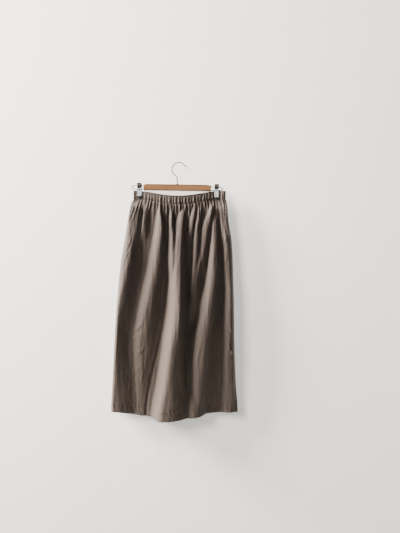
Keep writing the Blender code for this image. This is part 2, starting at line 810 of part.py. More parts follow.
def main():
    for obj in list(bpy.data.objects):
        bpy.data.objects.remove(obj)

    cloth = make_material("taupe_cloth", (0.19, 0.15, 0.13), 0.75)
    wood = make_material("beech_wood", (0.52, 0.31, 0.15), 0.5)
    steel = make_material("polished_steel", (0.62, 0.62, 0.62), 0.25, 1.0)
    rubber = make_material("dark_rubber", (0.03, 0.03, 0.03), 0.8)

    root = bpy.data.objects.new("skirt_on_hanger", None)
    bpy.context.scene.collection.objects.link(root)

    lap, under = GATHER_EDGES[LAP_GATHER], GATHER_EDGES[UNDERLAP_GATHER]
    band_ring(cloth, root)
    panel("front_side", thread_lines(0.0, lap), across_front, "front", ("left",), not_sunk, cloth, root)
    panel("front_main", thread_lines(under, 1.0), across_front, "front", ("right",), under_lap, cloth, root)
    back = thread_lines(0.0, 1.0)
    panel("back_panel", back, across_body, "back", ("left", "right"), not_sunk, cloth, root)
    pocket_bag("pocket_bag_left", "left", cloth, root)
    pocket_bag("pocket_bag_right", "right", cloth, root)

    hanger_bar(wood, root)
    tube("hanger_hook", hook_path(), HOOK_WIRE_RADIUS, steel, root)
    tube("loop_left", loop_path(-1.0), WIRE_RADIUS, steel, root)
    tube("loop_right", loop_path(1.0), WIRE_RADIUS, steel, root)
    clip("left", CLIP_LEFT, steel, rubber, root)
    clip("right", CLIP_RIGHT, steel, rubber, root)


main()
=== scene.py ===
import math

import bpy
import numpy as np
from mathutils import Matrix, Vector


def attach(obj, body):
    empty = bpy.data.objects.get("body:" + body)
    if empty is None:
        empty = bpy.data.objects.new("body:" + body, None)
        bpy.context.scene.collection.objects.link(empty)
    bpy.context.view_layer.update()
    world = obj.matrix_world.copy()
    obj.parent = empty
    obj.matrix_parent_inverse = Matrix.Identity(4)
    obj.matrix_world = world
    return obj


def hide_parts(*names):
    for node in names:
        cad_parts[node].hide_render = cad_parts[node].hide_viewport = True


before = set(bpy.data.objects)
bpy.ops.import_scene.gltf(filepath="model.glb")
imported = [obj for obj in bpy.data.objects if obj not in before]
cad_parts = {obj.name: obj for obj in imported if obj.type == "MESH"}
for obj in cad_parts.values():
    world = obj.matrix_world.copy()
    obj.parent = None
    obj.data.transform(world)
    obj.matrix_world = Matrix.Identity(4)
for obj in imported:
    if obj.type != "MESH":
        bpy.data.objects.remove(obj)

bl_info = {
    "name": "Wrap skirt on a clip hanger",
    "version": (1, 0, 0),
    "blender": (4, 5, 0),
    "location": "3D View > Sidebar > Skirt",
    "description": "Sews the skirt, finishes its clip hanger and sets the stage around the packed solids",
    "category": "Add Mesh",
}

MM = 0.001
BODY = "root"

# The skirt's cut, in mm. The cloth follows the solids, whose tables these repeat.
PANEL_LENGTH = 738.0
HEM_DEPTH = 25.0
PLY = 0.8
SIDE_ROUND = 14.0
SIDE_ROUND_TOP = 5.0
SIDE_ROUND_GROWTH = 120.0
HELD_LENGTH = 34.0
SEAM_ALLOWANCE = 7.0

BAND_HEIGHT = 33.0
BAND_LEFT = -158.0
BAND_RIGHT = 165.5
BAND_TOP_LEFT = -99.5
BAND_TOP_RIGHT = -96.0
BAND_SAG = 18.0
BAND_SAG_POWER = 1.3
BAND_PINCH = 3.2
BAND_BOW = {"front": 8.0, "back": 3.5}
BAND_BOW_POWER = 0.8
BAND_FLARE_LEFT = 1.8
BAND_FLARE_RIGHT = 3.6
BAND_FLARE_EASE_LEFT = 8.0
BAND_FLARE_EASE_RIGHT = 12.0
BAND_END_ROUND = 6.0
BAND_END_MARGIN = 3.0

GATHERS = 28
GATHER_START = 0.05
GATHER_END = 0.97
GATHER_PLACE_SPREAD = 0.26
GATHER_PLACE_BEAT = 2.4
GATHER_HEIGHT = 3.4
GATHER_HEIGHT_SPREAD = 0.22
GATHER_HEIGHT_BEAT = 2.1
GATHER_FALL = 34.0
GATHER_FALL_SPREAD = 0.45
GATHER_FALL_BEAT = 1.7
PLEAT_HEIGHT = 0.36
PLEAT_FALL = 0.55
GATHER_SHIFT = {"front": 0.0, "back": 1.0}
WAVE_SEED = {"front": 11, "back": 31}
CUT_WIDTH = 540.0
BAND_AROUND = 1050.0
BAND_WALL = 1.7
LAP_GATHER = 10
UNDERLAP_GATHER = 7
LAP_EASE = 12.0
LAP_OVER = 2.0

# Height below the hook, left edge, right edge, plain depth of the front and of the back
SECTIONS = (
    (-128, -159, 168, 9, 5),
    (-147, -166, 172, 9, 6),
    (-190, -174, 176, 10, 7),
    (-225, -179, 181, 11, 8),
    (-270, -186, 189, 12, 9),
    (-340, -197, 194, 12, 10),
    (-410, -204, 197, 12, 11),
    (-480, -209, 200, 12, 12),
    (-620, -215, 204, 11, 14),
    (-760, -220, 211, 9, 15),
    (-885, -225, 220, 7, 16),
)
LEFT, RIGHT = 0, 1
OUTWARD = {"front": -1.0, "back": 1.0}
INWARD = {"left": 1.0, "right": -1.0}
BASE = {"front": 2, "back": 3}

# Height and x of the lapped panel's free edge
LAP_EDGE = (
    (-128, -36), (-340, -33), (-480, -42), (-620, -61), (-700, -79), (-790, -97), (-885, -107),
)

# Each fold is a crest: height below the hook, x, how far it stands off, fade to the left and right.
# The front's rows were written by hand and then fitted to the photo's shading by another script.
FOLDS = {
    "front": (
        ((-190, -153, 9, 36, 41), (-340, -165, 17, 41, 22), (-480, -194, 16, 19, 43),
         (-620, -225, 19, 20, 60), (-885, -216, 12, 10, 76)),
        ((-150, -64, 6, 8, 8), (-225, -56, 16, 28, 13), (-340, -66, 17, 38, 30),
         (-480, -91, 16, 42, 37), (-620, -116, 11, 35, 57), (-885, -127, 1, 8, 26)),
        ((-150, 19, 4, 8, 8), (-225, 14, 15, 34, 12), (-340, 8, 24, 41, 32),
         (-480, 10, 39, 48, 31), (-620, -3, 46, 49, 39), (-760, -20, 46, 49, 72),
         (-885, -37, 53, 51, 136)),
        ((-440, 7, 0, 19, 26), (-540, 27, 4, 27, 11), (-620, 27, 10, 25, 10),
         (-700, 26, 9, 23, 10), (-770, 33, 5, 19, 8), (-830, 43, 0, 22, 21)),
        ((-150, 134, 3, 22, 12), (-225, 125, 8, 8, 26), (-340, 128, 18, 25, 30),
         (-480, 116, 27, 35, 37), (-620, 98, 36, 67, 40), (-885, 82, 24, 46, 31)),
        ((-190, 171, 7, 14, 20), (-340, 173, 10, 18, 35), (-480, 192, 17, 43, 27),
         (-620, 196, 18, 70, 30), (-885, 194, 7, 41, 13)),
        ((-150, -113, 5, 8, 15), (-225, -118, 7, 8, 21), (-310, -124, 0, 18, 24)),
        ((-150, -23, 4, 8, 8), (-225, -23, 15, 14, 16), (-340, -28, 11, 10, 23),
         (-430, -25, 0, 14, 11)),
        ((-150, 56, 7, 8, 11), (-225, 51, 8, 21, 8), (-295, 45, 0, 32, 8)),
        ((-150, 77, 5, 12, 8), (-225, 67, 9, 10, 17), (-340, 61, 13, 11, 25),
         (-480, 53, 16, 16, 53), (-570, 60, 0, 17, 18)),
        ((-150, 117, 9, 10, 10), (-225, 102, 8, 24, 17), (-340, 87, 9, 16, 17),
         (-410, 83, 0, 19, 28)),
        ((-150, 154, 4, 16, 9), (-225, 156, 7, 8, 12), (-300, 165, 0, 11, 14)),
    ),
    "back": (
        ((-190, -150, 3, 14, 18), (-480, -186, 6, 20, 44), (-885, -204, 8, 20, 52)),
        ((-150, -84, 4, 16, 16), (-340, -98, 8, 34, 30), (-885, -122, 12, 46, 40)),
        ((-150, -28, 4, 14, 14), (-340, -34, 9, 28, 26), (-885, -46, 13, 40, 38)),
        ((-150, 34, 4, 14, 14), (-340, 36, 8, 28, 30), (-885, 38, 11, 42, 44)),
        ((-150, 96, 4, 14, 16), (-340, 108, 9, 30, 32), (-885, 128, 12, 46, 42)),
        ((-150, -58, 4, 10, 10), (-240, -62, 6, 12, 12), (-400, -66, 0, 12, 12)),
        ((-150, 66, 4, 10, 10), (-240, 70, 6, 12, 12), (-430, 74, 0, 12, 12)),
    ),
}

# Small creases: two ends (x, z), height, half width and how far the middle bends aside
CREASES = {
    "front": (
        (-164, -190, -150, -150, 0.6, 2.4, 2), (-170, -232, -150, -176, 0.6, 2.6, 3),
        (-158, -210, -168, -180, 0.4, 2.2, 1), (-176, -276, -156, -222, 0.55, 2.6, -3),
        (-162, -262, -174, -226, 0.4, 2.4, 1), (-180, -316, -158, -262, 0.55, 2.8, 3),
        (-164, -300, -178, -268, 0.4, 2.4, -1), (-184, -352, -160, -304, 0.5, 2.8, -2),
        (-168, -344, -182, -312, 0.35, 2.4, 1), (-186, -396, -164, -350, 0.5, 3, 2),
        (-150, -590, -118, -560, 1.2, 6, 4), (-158, -628, -124, -606, 1.0, 5, -4),
        (-136, -668, -104, -640, 0.8, 5, 3), (-170, -700, -132, -676, 0.7, 5, 4),
        (-148, -742, -118, -712, 0.8, 5, -3), (-128, -790, -112, -730, 0.7, 4, 2),
        (-176, -800, -140, -770, 0.7, 5, 4), (-196, -846, -160, -812, 0.7, 5, 3),
        (182, -560, 204, -596, 1.3, 4, 3), (208, -640, 186, -668, 1.2, 4, 2),
        (176, -622, 202, -660, 1.3, 5, 3), (170, -690, 206, -716, 1.3, 5, -4),
        (178, -748, 210, -780, 1.3, 5, 3), (166, -808, 208, -826, 1.2, 5, -3),
        (-156, -146, -170, -172, 0.7, 2.2, 1), (-148, -146, -162, -186, 0.7, 2.2, 2),
        (-138, -148, -152, -196, 0.7, 2.4, 2), (-166, -160, -174, -204, 0.5, 2.2, 1),
        (150, -300, 172, -250, 0.8, 4, 2), (146, -366, 176, -318, 0.8, 5, 2),
        (40, -380, 56, -470, 0.9, 5, 3), (96, -420, 80, -520, 0.9, 5, -3),
        (-30, -560, -44, -650, 0.9, 6, 4), (66, -700, 84, -610, 0.9, 6, 3),
        (136, -640, 152, -560, 0.8, 6, -3), (-12, -840, 26, -800, 1.0, 7, 4),
    ),
    "back": (
        (-160, -300, -132, -236, 0.9, 5, 3), (-176, -420, -140, -372, 0.9, 6, -3),
        (-80, -520, -52, -452, 1.0, 6, 3), (20, -620, -8, -548, 1.0, 7, 3),
        (88, -470, 120, -412, 1.0, 6, -4), (160, -640, 132, -580, 1.0, 6, 3),
        (-150, -720, -108, -690, 1.1, 7, 4), (-40, -790, 4, -764, 1.0, 7, -4),
        (110, -800, 150, -764, 1.1, 7, 4), (-196, -836, -150, -806, 0.9, 6, 3),
        (150, -300, 170, -240, 0.8, 5, 2), (36, -330, 58, -280, 0.8, 5, 3),
    ),
}

# Broad shallow swells and hollows: middle (x, z), reach across and down, height
SWELLS = {
    "front": (
        (-138, -850, 16, 110, -2.2), (-118, -860, 8, 90, 0.8), (80, -870, 14, 90, 2.5),
        (48, -870, 14, 90, -2.0), (182, -640, 12, 170, 2.0), (160, -640, 12, 170, -1.4),
        (206, -640, 9, 170, -1.0),
    ),
    "back": ((-60, -700, 30, 140, 1.6), (70, -560, 26, 160, -1.4), (150, -760, 30, 120, 1.4)),
}

# Crumpled places: middle (x, z), reach across and down, strength
CRUMPLES = (
    (-140, -690, 46, 120, 0.7), (192, -720, 30, 130, 1.2), (-160, -250, 26, 70, 0.5),
    (0, -860, 90, 40, 0.5),
)
CRUMPLE_HEIGHT = 0.7

# Soft waviness all over the cloth: height, width and length of its ripples
WAVINESS = ((0.55, 26.0, 150.0), (0.28, 11.0, 70.0))

# Puckers beside the side seams: height, middle and reach of their strip, where they start below
SEAM_PUCKER = 0.85
SEAM_PUCKER_MIDDLE = 5.0
SEAM_PUCKER_REACH = 9.0
SEAM_PUCKER_START = 60.0

# The hem: puckers at its stitching and at its edge, a pressed line and the fold's thickness
HEM_PUCKER = 1.2
HEM_PUCKER_ABOVE = 11.0
HEM_PUCKER_BELOW = 9.0
HEM_PUCKER_SLANT = 0.35
HEM_LINE = 0.45
HEM_LINE_WIDTH = 1.6
HEM_ROLL = 0.5

# The hanger, in mm
BAR_CENTRE = -5.0
BAR_LENGTH = 236.0
BAR_TOP = -75.5
BAR_HEIGHT = 22.5
BAR_DEPTH = 12.0
BAR_DROP = 2.0
BAR_DROP_LENGTH = 14.0
BAR_ROUND = 2.0
HOOK_WIRE = 1.6
HOOK_RADIUS = 24.0
HOOK_ENTER = math.radians(212.0)
HOOK_LEAVE = math.radians(44.0)
HOOK_BEND = -58.0
HOOK_BEND_RISE = 11.0
HOOK_BEND_REACH = 9.0
HOOK_TIP = (11.18, -6.5)
HOOK_TIP_REACH = 4.0
LOOP_WIRE = 1.5
LOOP_REACH = 40.0
LOOP_TOP = -82.5
LOOP_BOTTOM = -93.6
LOOP_MIDDLE = (LOOP_TOP + LOOP_BOTTOM) / 2.0
GAP = 0.3
CLIPS = {"left": -137.0, "right": 133.5}
CLIP_WIDTH = 15.0
CLIP_EASE = 5.0
CLIP_PLATE = 1.2
CLIP_CORNER = 1.6
CLIP_TOP = -73.0
CLIP_HINGE = -84.0
CLIP_BOTTOM = -118.0
CLIP_HANDLE = 8.0
HANDLE_END = -91.0
CLIP_HINGE_SPREAD = 3.9
TIP_HEIGHT = 5.0
TIP_PLATE = 2.4
SPRING_RADIUS = 2.95
SPRING_WIRE = 0.45
SPRING_TURNS = 11
SPRING_REACH = 5.1
PIN_REACH = 5.5
PIN_RADIUS = 1.0

# A pocket: where its mouth starts along the waist seam and how far down it runs, then its bag in mm
POCKETS = {"left": (0.012, 22.0, 128.0), "right": (0.976, 22.0, 132.0)}
BAG_TOP = -178.0
BAG_WIDTH = 82.0
BAG_DEPTH = 220.0
BAG_REACH = 190.0
BAG_ROUND = 56.0
BAG_FROM_SEAM = 15.0
BAG_CLEAR = 2.2

# The photograph's camera: where it stands, its lens and how far it leans
CAMERA_PLACE = (0.0792, -1.40, -0.3614)
CAMERA_LENS = 27.0
CAMERA_LEAN = 0.9

# The room, in metres: half width of wall and floor, their ends, and the point that the lamps face
ROOM_HALF = 3.2
FLOOR_Z = -1.45
WALL_TOP = 1.6
FLOOR_HALF = 3.0
LAMP_AIM = (0.0, 0.0, -0.45)


# Shapes of the cloth

def smooth(t):
    """Rise from 0 to 1 with level ends."""
    t = np.clip(t, 0.0, 1.0)
    return t * t * (3.0 - 2.0 * t)


def along(rows, z):
    """A table's columns as smooth curves at heights z. They never pass beyond a row."""
    table = np.array(rows, float)
    heights, values = table[:, 0], table[:, 1:]
    rise = np.diff(values, axis=0) / np.diff(heights)[:, None]
    before, after = rise[:-1], rise[1:]
    same_way = before * after > 0.0
    total = np.where(same_way, before + after, 1.0)
    slopes = np.zeros_like(values)
    slopes[1:-1] = np.where(same_way, 2.0 * before * after / total, 0.0)
    z = np.asarray(z, float)
    i = np.clip(np.searchsorted(-heights, -z, side="right") - 1, 0, len(heights) - 2)
    run = heights[i + 1] - heights[i]
    t = np.clip((z - heights[i]) / run, 0.0, 1.0)[..., None]
    run = run[..., None]
    square, cube = t * t, t * t * t
    return (
        values[i] * (2 * cube - 3 * square + 1)
        + slopes[i] * run * (cube - 2 * square + t)
        + values[i + 1] * (3 * square - 2 * cube)
        + slopes[i + 1] * run * (cube - square)
    )


def fold_height(side, x, z):
    """How far the folds stand off the plain depth, each rounded at its crest."""
    total = np.zeros(np.broadcast(x, z).shape)
    for rows in FOLDS[side]:
        crest = along(rows, z)
        offset = x - crest[..., 0]
        reach = np.where(offset < 0.0, crest[..., 2], crest[..., 3])
        t = np.minimum(np.abs(offset) / reach, 1.0)
        total = total + crest[..., 1] * (1.0 - t**2.5) ** 2
    return total


def side_round(distance, radius):
    """Quarter round by which the cloth turns in to its side seam."""
    t = np.clip(distance / radius, 0.0, 1.0)
    return np.sqrt(1.0 - (1.0 - t) ** 2)


def band_x(u):
    """x on the band from the fraction of its width."""
    return BAND_LEFT + u * (BAND_RIGHT - BAND_LEFT)


def band_top(x):
    """Height of the band's top edge: level at the clips, sagging between them."""
    t = np.clip((x - CLIPS["left"]) / (CLIPS["right"] - CLIPS["left"]), 0.0, 1.0)
    level = BAND_TOP_LEFT + (BAND_TOP_RIGHT - BAND_TOP_LEFT) * t
    return level - BAND_SAG * np.sin(np.pi * t) ** BAND_SAG_POWER


def band_depth(x, bow):
    """How far the band stands from the middle plane. It lies flat under the jaws."""
    flat = CLIP_WIDTH / 2.0 + CLIP_EASE
    start, end = CLIPS["left"] + flat, CLIPS["right"] - flat
    t = np.clip((x - start) / (end - start), 0.0, 1.0)
    spread = bow * np.sin(np.pi * t) ** BAND_BOW_POWER
    spread = spread + BAND_FLARE_LEFT * smooth((CLIPS["left"] - flat - x) / BAND_FLARE_EASE_LEFT)
    spread = spread + BAND_FLARE_RIGHT * smooth((x - CLIPS["right"] - flat) / BAND_FLARE_EASE_RIGHT)
    ends = side_round(np.minimum(x - BAND_LEFT, BAND_RIGHT - x), BAND_END_ROUND)
    return (BAND_PINCH + spread) * ends


def gather_edges():
    """Where each gather starts and ends along the waist seam, a little uneven."""
    span = GATHER_END - GATHER_START
    k = np.arange(1, GATHERS)
    inner = GATHER_START + span * (k + GATHER_PLACE_SPREAD * np.sin(GATHER_PLACE_BEAT * k)) / GATHERS
    return np.concatenate(([GATHER_START], inner, [GATHER_END]))


GATHER_EDGES = gather_edges()


def gather_height(u, fall, side):
    """Rise of the gathers above the cloth, each fading at its own distance from the seam."""
    shift = GATHER_SHIFT[side]
    k = np.clip(np.searchsorted(GATHER_EDGES, u) - 1, 0, GATHERS - 1)
    t = np.clip((u - GATHER_EDGES[k]) / (GATHER_EDGES[k + 1] - GATHER_EDGES[k]), 0.0, 1.0)
    uneven = GATHER_HEIGHT_SPREAD * np.sin(GATHER_HEIGHT_BEAT * k + shift)
    height = GATHER_HEIGHT * (1.0 - GATHER_HEIGHT_SPREAD + uneven)
    length = GATHER_FALL * (1.0 + GATHER_FALL_SPREAD * np.sin(GATHER_FALL_BEAT * k + 2.0 * shift))
    below = np.maximum(fall, 0.0)
    fade = np.exp(-((below / length) ** 2))
    rounded = 0.5 * (1.0 - np.cos(2.0 * np.pi * t))
    pleat = 0.5 * (1.0 - np.cos(2.0 * np.pi * (2.0 + k % 2) * t + 1.3 * np.sin(3.1 * k)))
    fine = PLEAT_HEIGHT * pleat * rounded * np.exp(-((below / (PLEAT_FALL * length)) ** 2))
    return height * (fade * rounded + fine)


def clip_hold(x):
    """1 under a clip's jaw, where the gathers lie flat, falling to 0 beside it."""
    nearest = np.minimum(abs(x - CLIPS["left"]), abs(x - CLIPS["right"]))
    return 1.0 - smooth((nearest - CLIP_WIDTH / 2.0 - 1.0) / CLIP_EASE)


def ripples(x, y, seed, width, length, count=20):
    """Uneven soft ripples about as wide and long as asked, mostly between -1 and 1."""
    dice = np.random.default_rng(seed)
    total = np.zeros(np.broadcast(x, y).shape)
    for across, down, start in zip(
        dice.normal(0.0, 1.0 / width, count), dice.normal(0.0, 1.0 / length, count),
        dice.uniform(0.0, 2.0 * np.pi, count),
    ):
        total = total + np.cos(2.0 * np.pi * (across * x + down * y) + start)
    return total / math.sqrt(2.0 * count)


def spot(x, z, middle_x, middle_z, reach_x, reach_z):
    """1 at a place on the cloth, fading to 0 around it."""
    return np.exp(-(((x - middle_x) / reach_x) ** 2) - (((z - middle_z) / reach_z) ** 2))


def crease_height(side, x, z):
    """The small creases: soft ridges with a shallow trough on their lower side."""
    total = np.zeros(np.broadcast(x, z).shape)
    for x0, z0, x1, z1, height, half, bend in CREASES[side]:
        run_x, run_z = x1 - x0, z1 - z0
        length = math.hypot(run_x, run_z)
        t = ((x - x0) * run_x + (z - z0) * run_z) / length**2
        aside = ((x - x0) * run_z - (z - z0) * run_x) / length
        inside = (t > -0.15) & (t < 1.15)
        ends = np.where(inside, np.sin(np.pi * np.clip((t + 0.15) / 1.3, 0.0, 1.0)), 0.0)
        aside = (aside - bend * np.sin(np.pi * np.clip(t, 0.0, 1.0))) / half
        total = total + height * ends * (np.exp(-aside**2) - 0.6 * np.exp(-((aside - 1.5) ** 2)))
    return total


def from_side_seam(x, section):
    """Distance to the nearer side seam."""
    return np.minimum(x - section[..., LEFT], section[..., RIGHT] - x)


def seam_puckers(x, z, fall, seed):
    """Short level puckers beside the side seams, from below the waist on."""
    distance = from_side_seam(x, along(SECTIONS, z))
    strip = np.exp(-(((distance - SEAM_PUCKER_MIDDLE) / SEAM_PUCKER_REACH) ** 2))
    strip = strip * smooth(fall / SEAM_PUCKER_START)
    return SEAM_PUCKER * strip * ripples(distance, z, seed, 40.0, 13.0)


def hem_relief(x, z, fall, seed):
    """Puckers at the hem's stitching and edge, the pressed line between and the raised hem."""
    above = PANEL_LENGTH - HEM_DEPTH - fall
    strip = np.exp(-((above / HEM_PUCKER_ABOVE) ** 2))
    strip = strip + 0.5 * np.exp(-(((above + HEM_DEPTH) / HEM_PUCKER_BELOW) ** 2))
    slanted = x + HEM_PUCKER_SLANT * z
    puckers = HEM_PUCKER * strip * ripples(slanted, np.zeros_like(z), seed, 9.0, 900.0)
    line = HEM_LINE * np.exp(-((above / HEM_LINE_WIDTH) ** 2))
    return puckers - line + HEM_ROLL * smooth(-above / HEM_DEPTH)


def crumples(x, z, seed):
    """Crushed places, as cloth has that was worn or folded."""
    where = sum(strength * spot(x, z, *place) for *place, strength in CRUMPLES)
    return CRUMPLE_HEIGHT * where * ripples(x + 0.5 * z, z - 0.3 * x, seed, 22.0, 34.0)


def wrinkles(side, x, z, fall):
    """Everything finer than the folds: soft waviness, crumples, puckered hem and side seams."""
    seed = WAVE_SEED[side]
    flat = sum(height * ripples(x, z, seed + k, width, length)
               for k, (height, width, length) in enumerate(WAVINESS))
    swell = sum(height * spot(x, z, *place) for *place, height in SWELLS[side])
    return (
        flat + seam_puckers(x, z, fall, seed + 2) + hem_relief(x, z, fall, seed + 3)
        + crumples(x, z, seed + 4) + swell + crease_height(side, x, z)
    )


def cloth_depth(x, z, fall, top_x, side):
    """Distance of a panel's outer face from the middle plane."""
    section = along(SECTIONS, z)
    radius = SIDE_ROUND_TOP + (SIDE_ROUND - SIDE_ROUND_TOP) * smooth(fall / SIDE_ROUND_GROWTH)
    ends = side_round(from_side_seam(x, section), radius)
    free = section[..., BASE[side]] + fold_height(side, x, z)
    held_x = np.clip(top_x, BAND_LEFT + BAND_END_MARGIN, BAND_RIGHT - BAND_END_MARGIN)
    held = band_depth(held_x, BAND_BOW[side])
    loose = smooth(fall / HELD_LENGTH)
    return (held + (free - held) * loose + wrinkles(side, x, z, fall) * loose) * ends


def body_x(u, z):
    """x of a thread line of the back, from the fraction of the waist seam where it starts."""
    section = along(SECTIONS, z)
    return section[..., LEFT] + u * (section[..., RIGHT] - section[..., LEFT])


def front_x(u, z):
    """x of a thread line of the front. The line that starts at the lap's edge stays on it."""
    section = along(SECTIONS, z)
    lap, edge = GATHER_EDGES[LAP_GATHER], along(LAP_EDGE, z)[..., 0]
    before = section[..., LEFT] + u / lap * (edge - section[..., LEFT])
    after = edge + (u - lap) / (1.0 - lap) * (section[..., RIGHT] - edge)
    return np.where(u <= lap, before, after)


def panel_face(u, fall, side):
    """Outer face of a panel at thread lines u and distances below the waist seam, in mm."""
    u, fall = np.broadcast_arrays(np.asarray(u, float), np.asarray(fall, float))
    top_x = band_x(u)
    z = band_top(top_x) - BAND_HEIGHT - fall
    x = front_x(u, z) if side == "front" else body_x(u, z)
    held = clip_hold(top_x) * np.exp(-np.maximum(fall, 0.0) / 12.0)
    depth = cloth_depth(x, z, fall, top_x, side) + gather_height(u, fall, side) * (1.0 - held)
    return np.stack((x, depth * OUTWARD[side], z), axis=-1)


def facing(grid, outward, ring=False):
    """Unit normals of a grid of points. outward is 1 or -1, whichever faces out."""
    if ring:
        across = np.roll(grid, -1, axis=1) - np.roll(grid, 1, axis=1)
    else:
        across = np.gradient(grid, axis=1)
    down = np.gradient(grid, axis=0)
    normal = np.cross(across, down) * outward
    return normal / np.maximum(np.linalg.norm(normal, axis=-1, keepdims=True), 1e-9)


# Meshes

def mesh_object(name, points, faces, material, threads=None):
    """An object from points in mm, faces and, if given, each point's place on the flat cloth."""
    mesh = bpy.data.meshes.new(name)
    mesh.from_pydata((np.asarray(points) * MM).tolist(), [], faces)
    mesh.materials.append(material)
    if threads is not None:
        layer = mesh.uv_layers.new(name="cut")
        corner = np.empty(len(mesh.loops), np.int32)
        mesh.loops.foreach_get("vertex_index", corner)
        layer.data.foreach_set("uv", (np.asarray(threads) * MM)[corner].ravel())
    mesh.shade_smooth()
    obj = bpy.data.objects.new(name, mesh)
    bpy.context.scene.collection.objects.link(obj)
    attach(obj, BODY)
    return obj


def grid_faces(rows, columns, start, turned, ring=False):
    """Faces between the points of a grid. A ring closes from its last column to its first."""
    last = columns if ring else columns - 1
    faces = []
    for r in range(rows - 1):
        for c in range(last):
            d = (c + 1) % columns
            quad = (r * columns + c, r * columns + d, (r + 1) * columns + d, (r + 1) * columns + c)
            faces.append(tuple(start + i for i in (quad[::-1] if turned else quad)))
    return faces


def shell(outer, inner, turned, ring=False):
    """Points and faces of a closed thin shell from its outer and inner grids of points."""
    rows, columns = outer.shape[:2]
    count = rows * columns
    faces = grid_faces(rows, columns, 0, turned, ring)
    faces += grid_faces(rows, columns, count, not turned, ring)
    rims = []
    last = columns if ring else columns - 1
    for r, flip in ((0, False), (rows - 1, True)):
        for c in range(last):
            a, b = r * columns + c, r * columns + (c + 1) % columns
            rims.append(((b, a, count + a, count + b), flip))
    if not ring:
        for c, flip in ((0, True), (columns - 1, False)):
            for r in range(rows - 1):
                a, b = r * columns + c, (r + 1) * columns + c
                rims.append(((b, a, count + a, count + b), flip))
    faces += [quad[::-1] if flip != turned else quad for quad, flip in rims]
    return np.concatenate((outer.reshape(-1, 3), inner.reshape(-1, 3))), faces


def cloth_shell(name, outer, inner, threads, turned, ring=False):
    """A sheet of the skirt's cloth, with its place on the flat cloth for the weave."""
    points, faces = shell(outer, inner, turned, ring)
    flat = threads.reshape(-1, 2)
    return mesh_object(name, points, faces, finish_of("cloth"), np.concatenate((flat, flat)))


def rod_faces(rings, sides, start=0, turned=False):
    """Faces around a row of rings of points, with a cap at each end."""
    faces = []
    for r in range(rings - 1):
        for k in range(sides):
            a, b = start + r * sides + k, start + r * sides + (k + 1) % sides
            faces.append((a, a + sides, b + sides, b) if turned else (a, b, b + sides, a + sides))
    near = tuple(range(start, start + sides))
    far = tuple(range(start + (rings - 1) * sides, start + rings * sides))
    return faces + ([near, far[::-1]] if turned else [near[::-1], far])


def spaced(start, end, step, fine=()):
    """Even steps from start to end, with extra places where the cloth turns quickly."""
    even = np.linspace(start, end, max(2, round((end - start) / step) + 1))
    extra = [v for v in fine if start < v < end]
    merged = np.unique(np.round(np.concatenate((even, extra)), 6))
    keep = np.concatenate(([True], np.diff(merged) > 0.12 * step))
    return merged[keep]


def stitches(name, points, normals, length, gap, radius=0.28):
    """A row of sewing stitches along a line on the cloth, each a small rounded rod."""
    points, normals = np.asarray(points), np.asarray(normals)
    steps = np.linalg.norm(np.diff(points, axis=0), axis=1)
    walked = np.concatenate(([0.0], np.cumsum(steps)))
    starts = np.arange(0.0, walked[-1] - length, length + gap)
    at = np.stack([starts + length * f for f in (0.0, 0.12, 0.5, 0.88, 1.0)], axis=1)
    girth = np.array((0.35, 0.85, 1.0, 0.85, 0.35)) * radius
    proud = np.array((-0.15, 0.05, 0.22, 0.05, -0.15))
    centre = np.stack([np.interp(at, walked, points[:, i]) for i in range(3)], axis=-1)
    up = np.stack([np.interp(at, walked, normals[:, i]) for i in range(3)], axis=-1)
    centre = centre + up * proud[None, :, None]
    run = centre[:, -1] - centre[:, 0]
    run = run / np.linalg.norm(run, axis=1, keepdims=True)
    side = np.cross(run[:, None, :], up)
    side = side / np.maximum(np.linalg.norm(side, axis=-1, keepdims=True), 1e-9)
    sides = 6
    turn = np.arange(sides) * 2.0 * np.pi / sides
    ring = (side[:, :, None] * np.cos(turn)[None, None, :, None]
            + up[:, :, None] * np.sin(turn)[None, None, :, None])
    cloud = centre[:, :, None] + ring * girth[None, :, None, None]
    faces = []
    for s in range(len(starts)):
        faces += rod_faces(len(girth), sides, s * len(girth) * sides, turned=True)
    return mesh_object(name, cloud.reshape(-1, 3), faces, finish_of("thread"))


def sweep(path, radius, sides):
    """Points and faces of a round bar along a path, closed at both ends."""
    path = np.asarray(path, float)
    radii = np.broadcast_to(np.asarray(radius, float), (len(path),))
    tangent = np.gradient(path, axis=0)
    tangent = tangent / np.linalg.norm(tangent, axis=1, keepdims=True)
    side = np.cross(tangent[0], (0.0, 1.0, 0.0))
    if np.linalg.norm(side) < 0.1:
        side = np.cross(tangent[0], (1.0, 0.0, 0.0))
    turn = np.arange(sides) * 2.0 * np.pi / sides
    rings = []
    for centre, along_it, r in zip(path, tangent, radii):
        side = side - along_it * np.dot(side, along_it)
        side = side / np.linalg.norm(side)
        up = np.cross(along_it, side)
        rings.append(centre + r * (np.outer(np.cos(turn), side) + np.outer(np.sin(turn), up)))
    return np.concatenate(rings), rod_faces(len(path), sides)


def join(parts):
    """Several (points, faces) as one."""
    points, faces, start = [], [], 0
    for cloud, polygons in parts:
        points.append(cloud)
        faces += [tuple(start + i for i in polygon) for polygon in polygons]
        start += len(cloud)
    return np.concatenate(points), faces


def bevel(obj, width, segments):
    """Rounded edges, with a width in mm."""
    modifier = obj.modifiers.new("edges", "BEVEL")
    modifier.width = width * MM
    modifier.segments = segments
    modifier.limit_method = "ANGLE"
    modifier.angle_limit = math.radians(40.0)
    modifier.harden_normals = True


# Finishes

def hex_colour(code):
    """Linear colour of an sRGB hex value."""
    parts = [int(code[i : i + 2], 16) / 255.0 for i in (0, 2, 4)]
    return tuple(c / 12.92 if c <= 0.04045 else ((c + 0.055) / 1.055) ** 2.4 for c in parts)


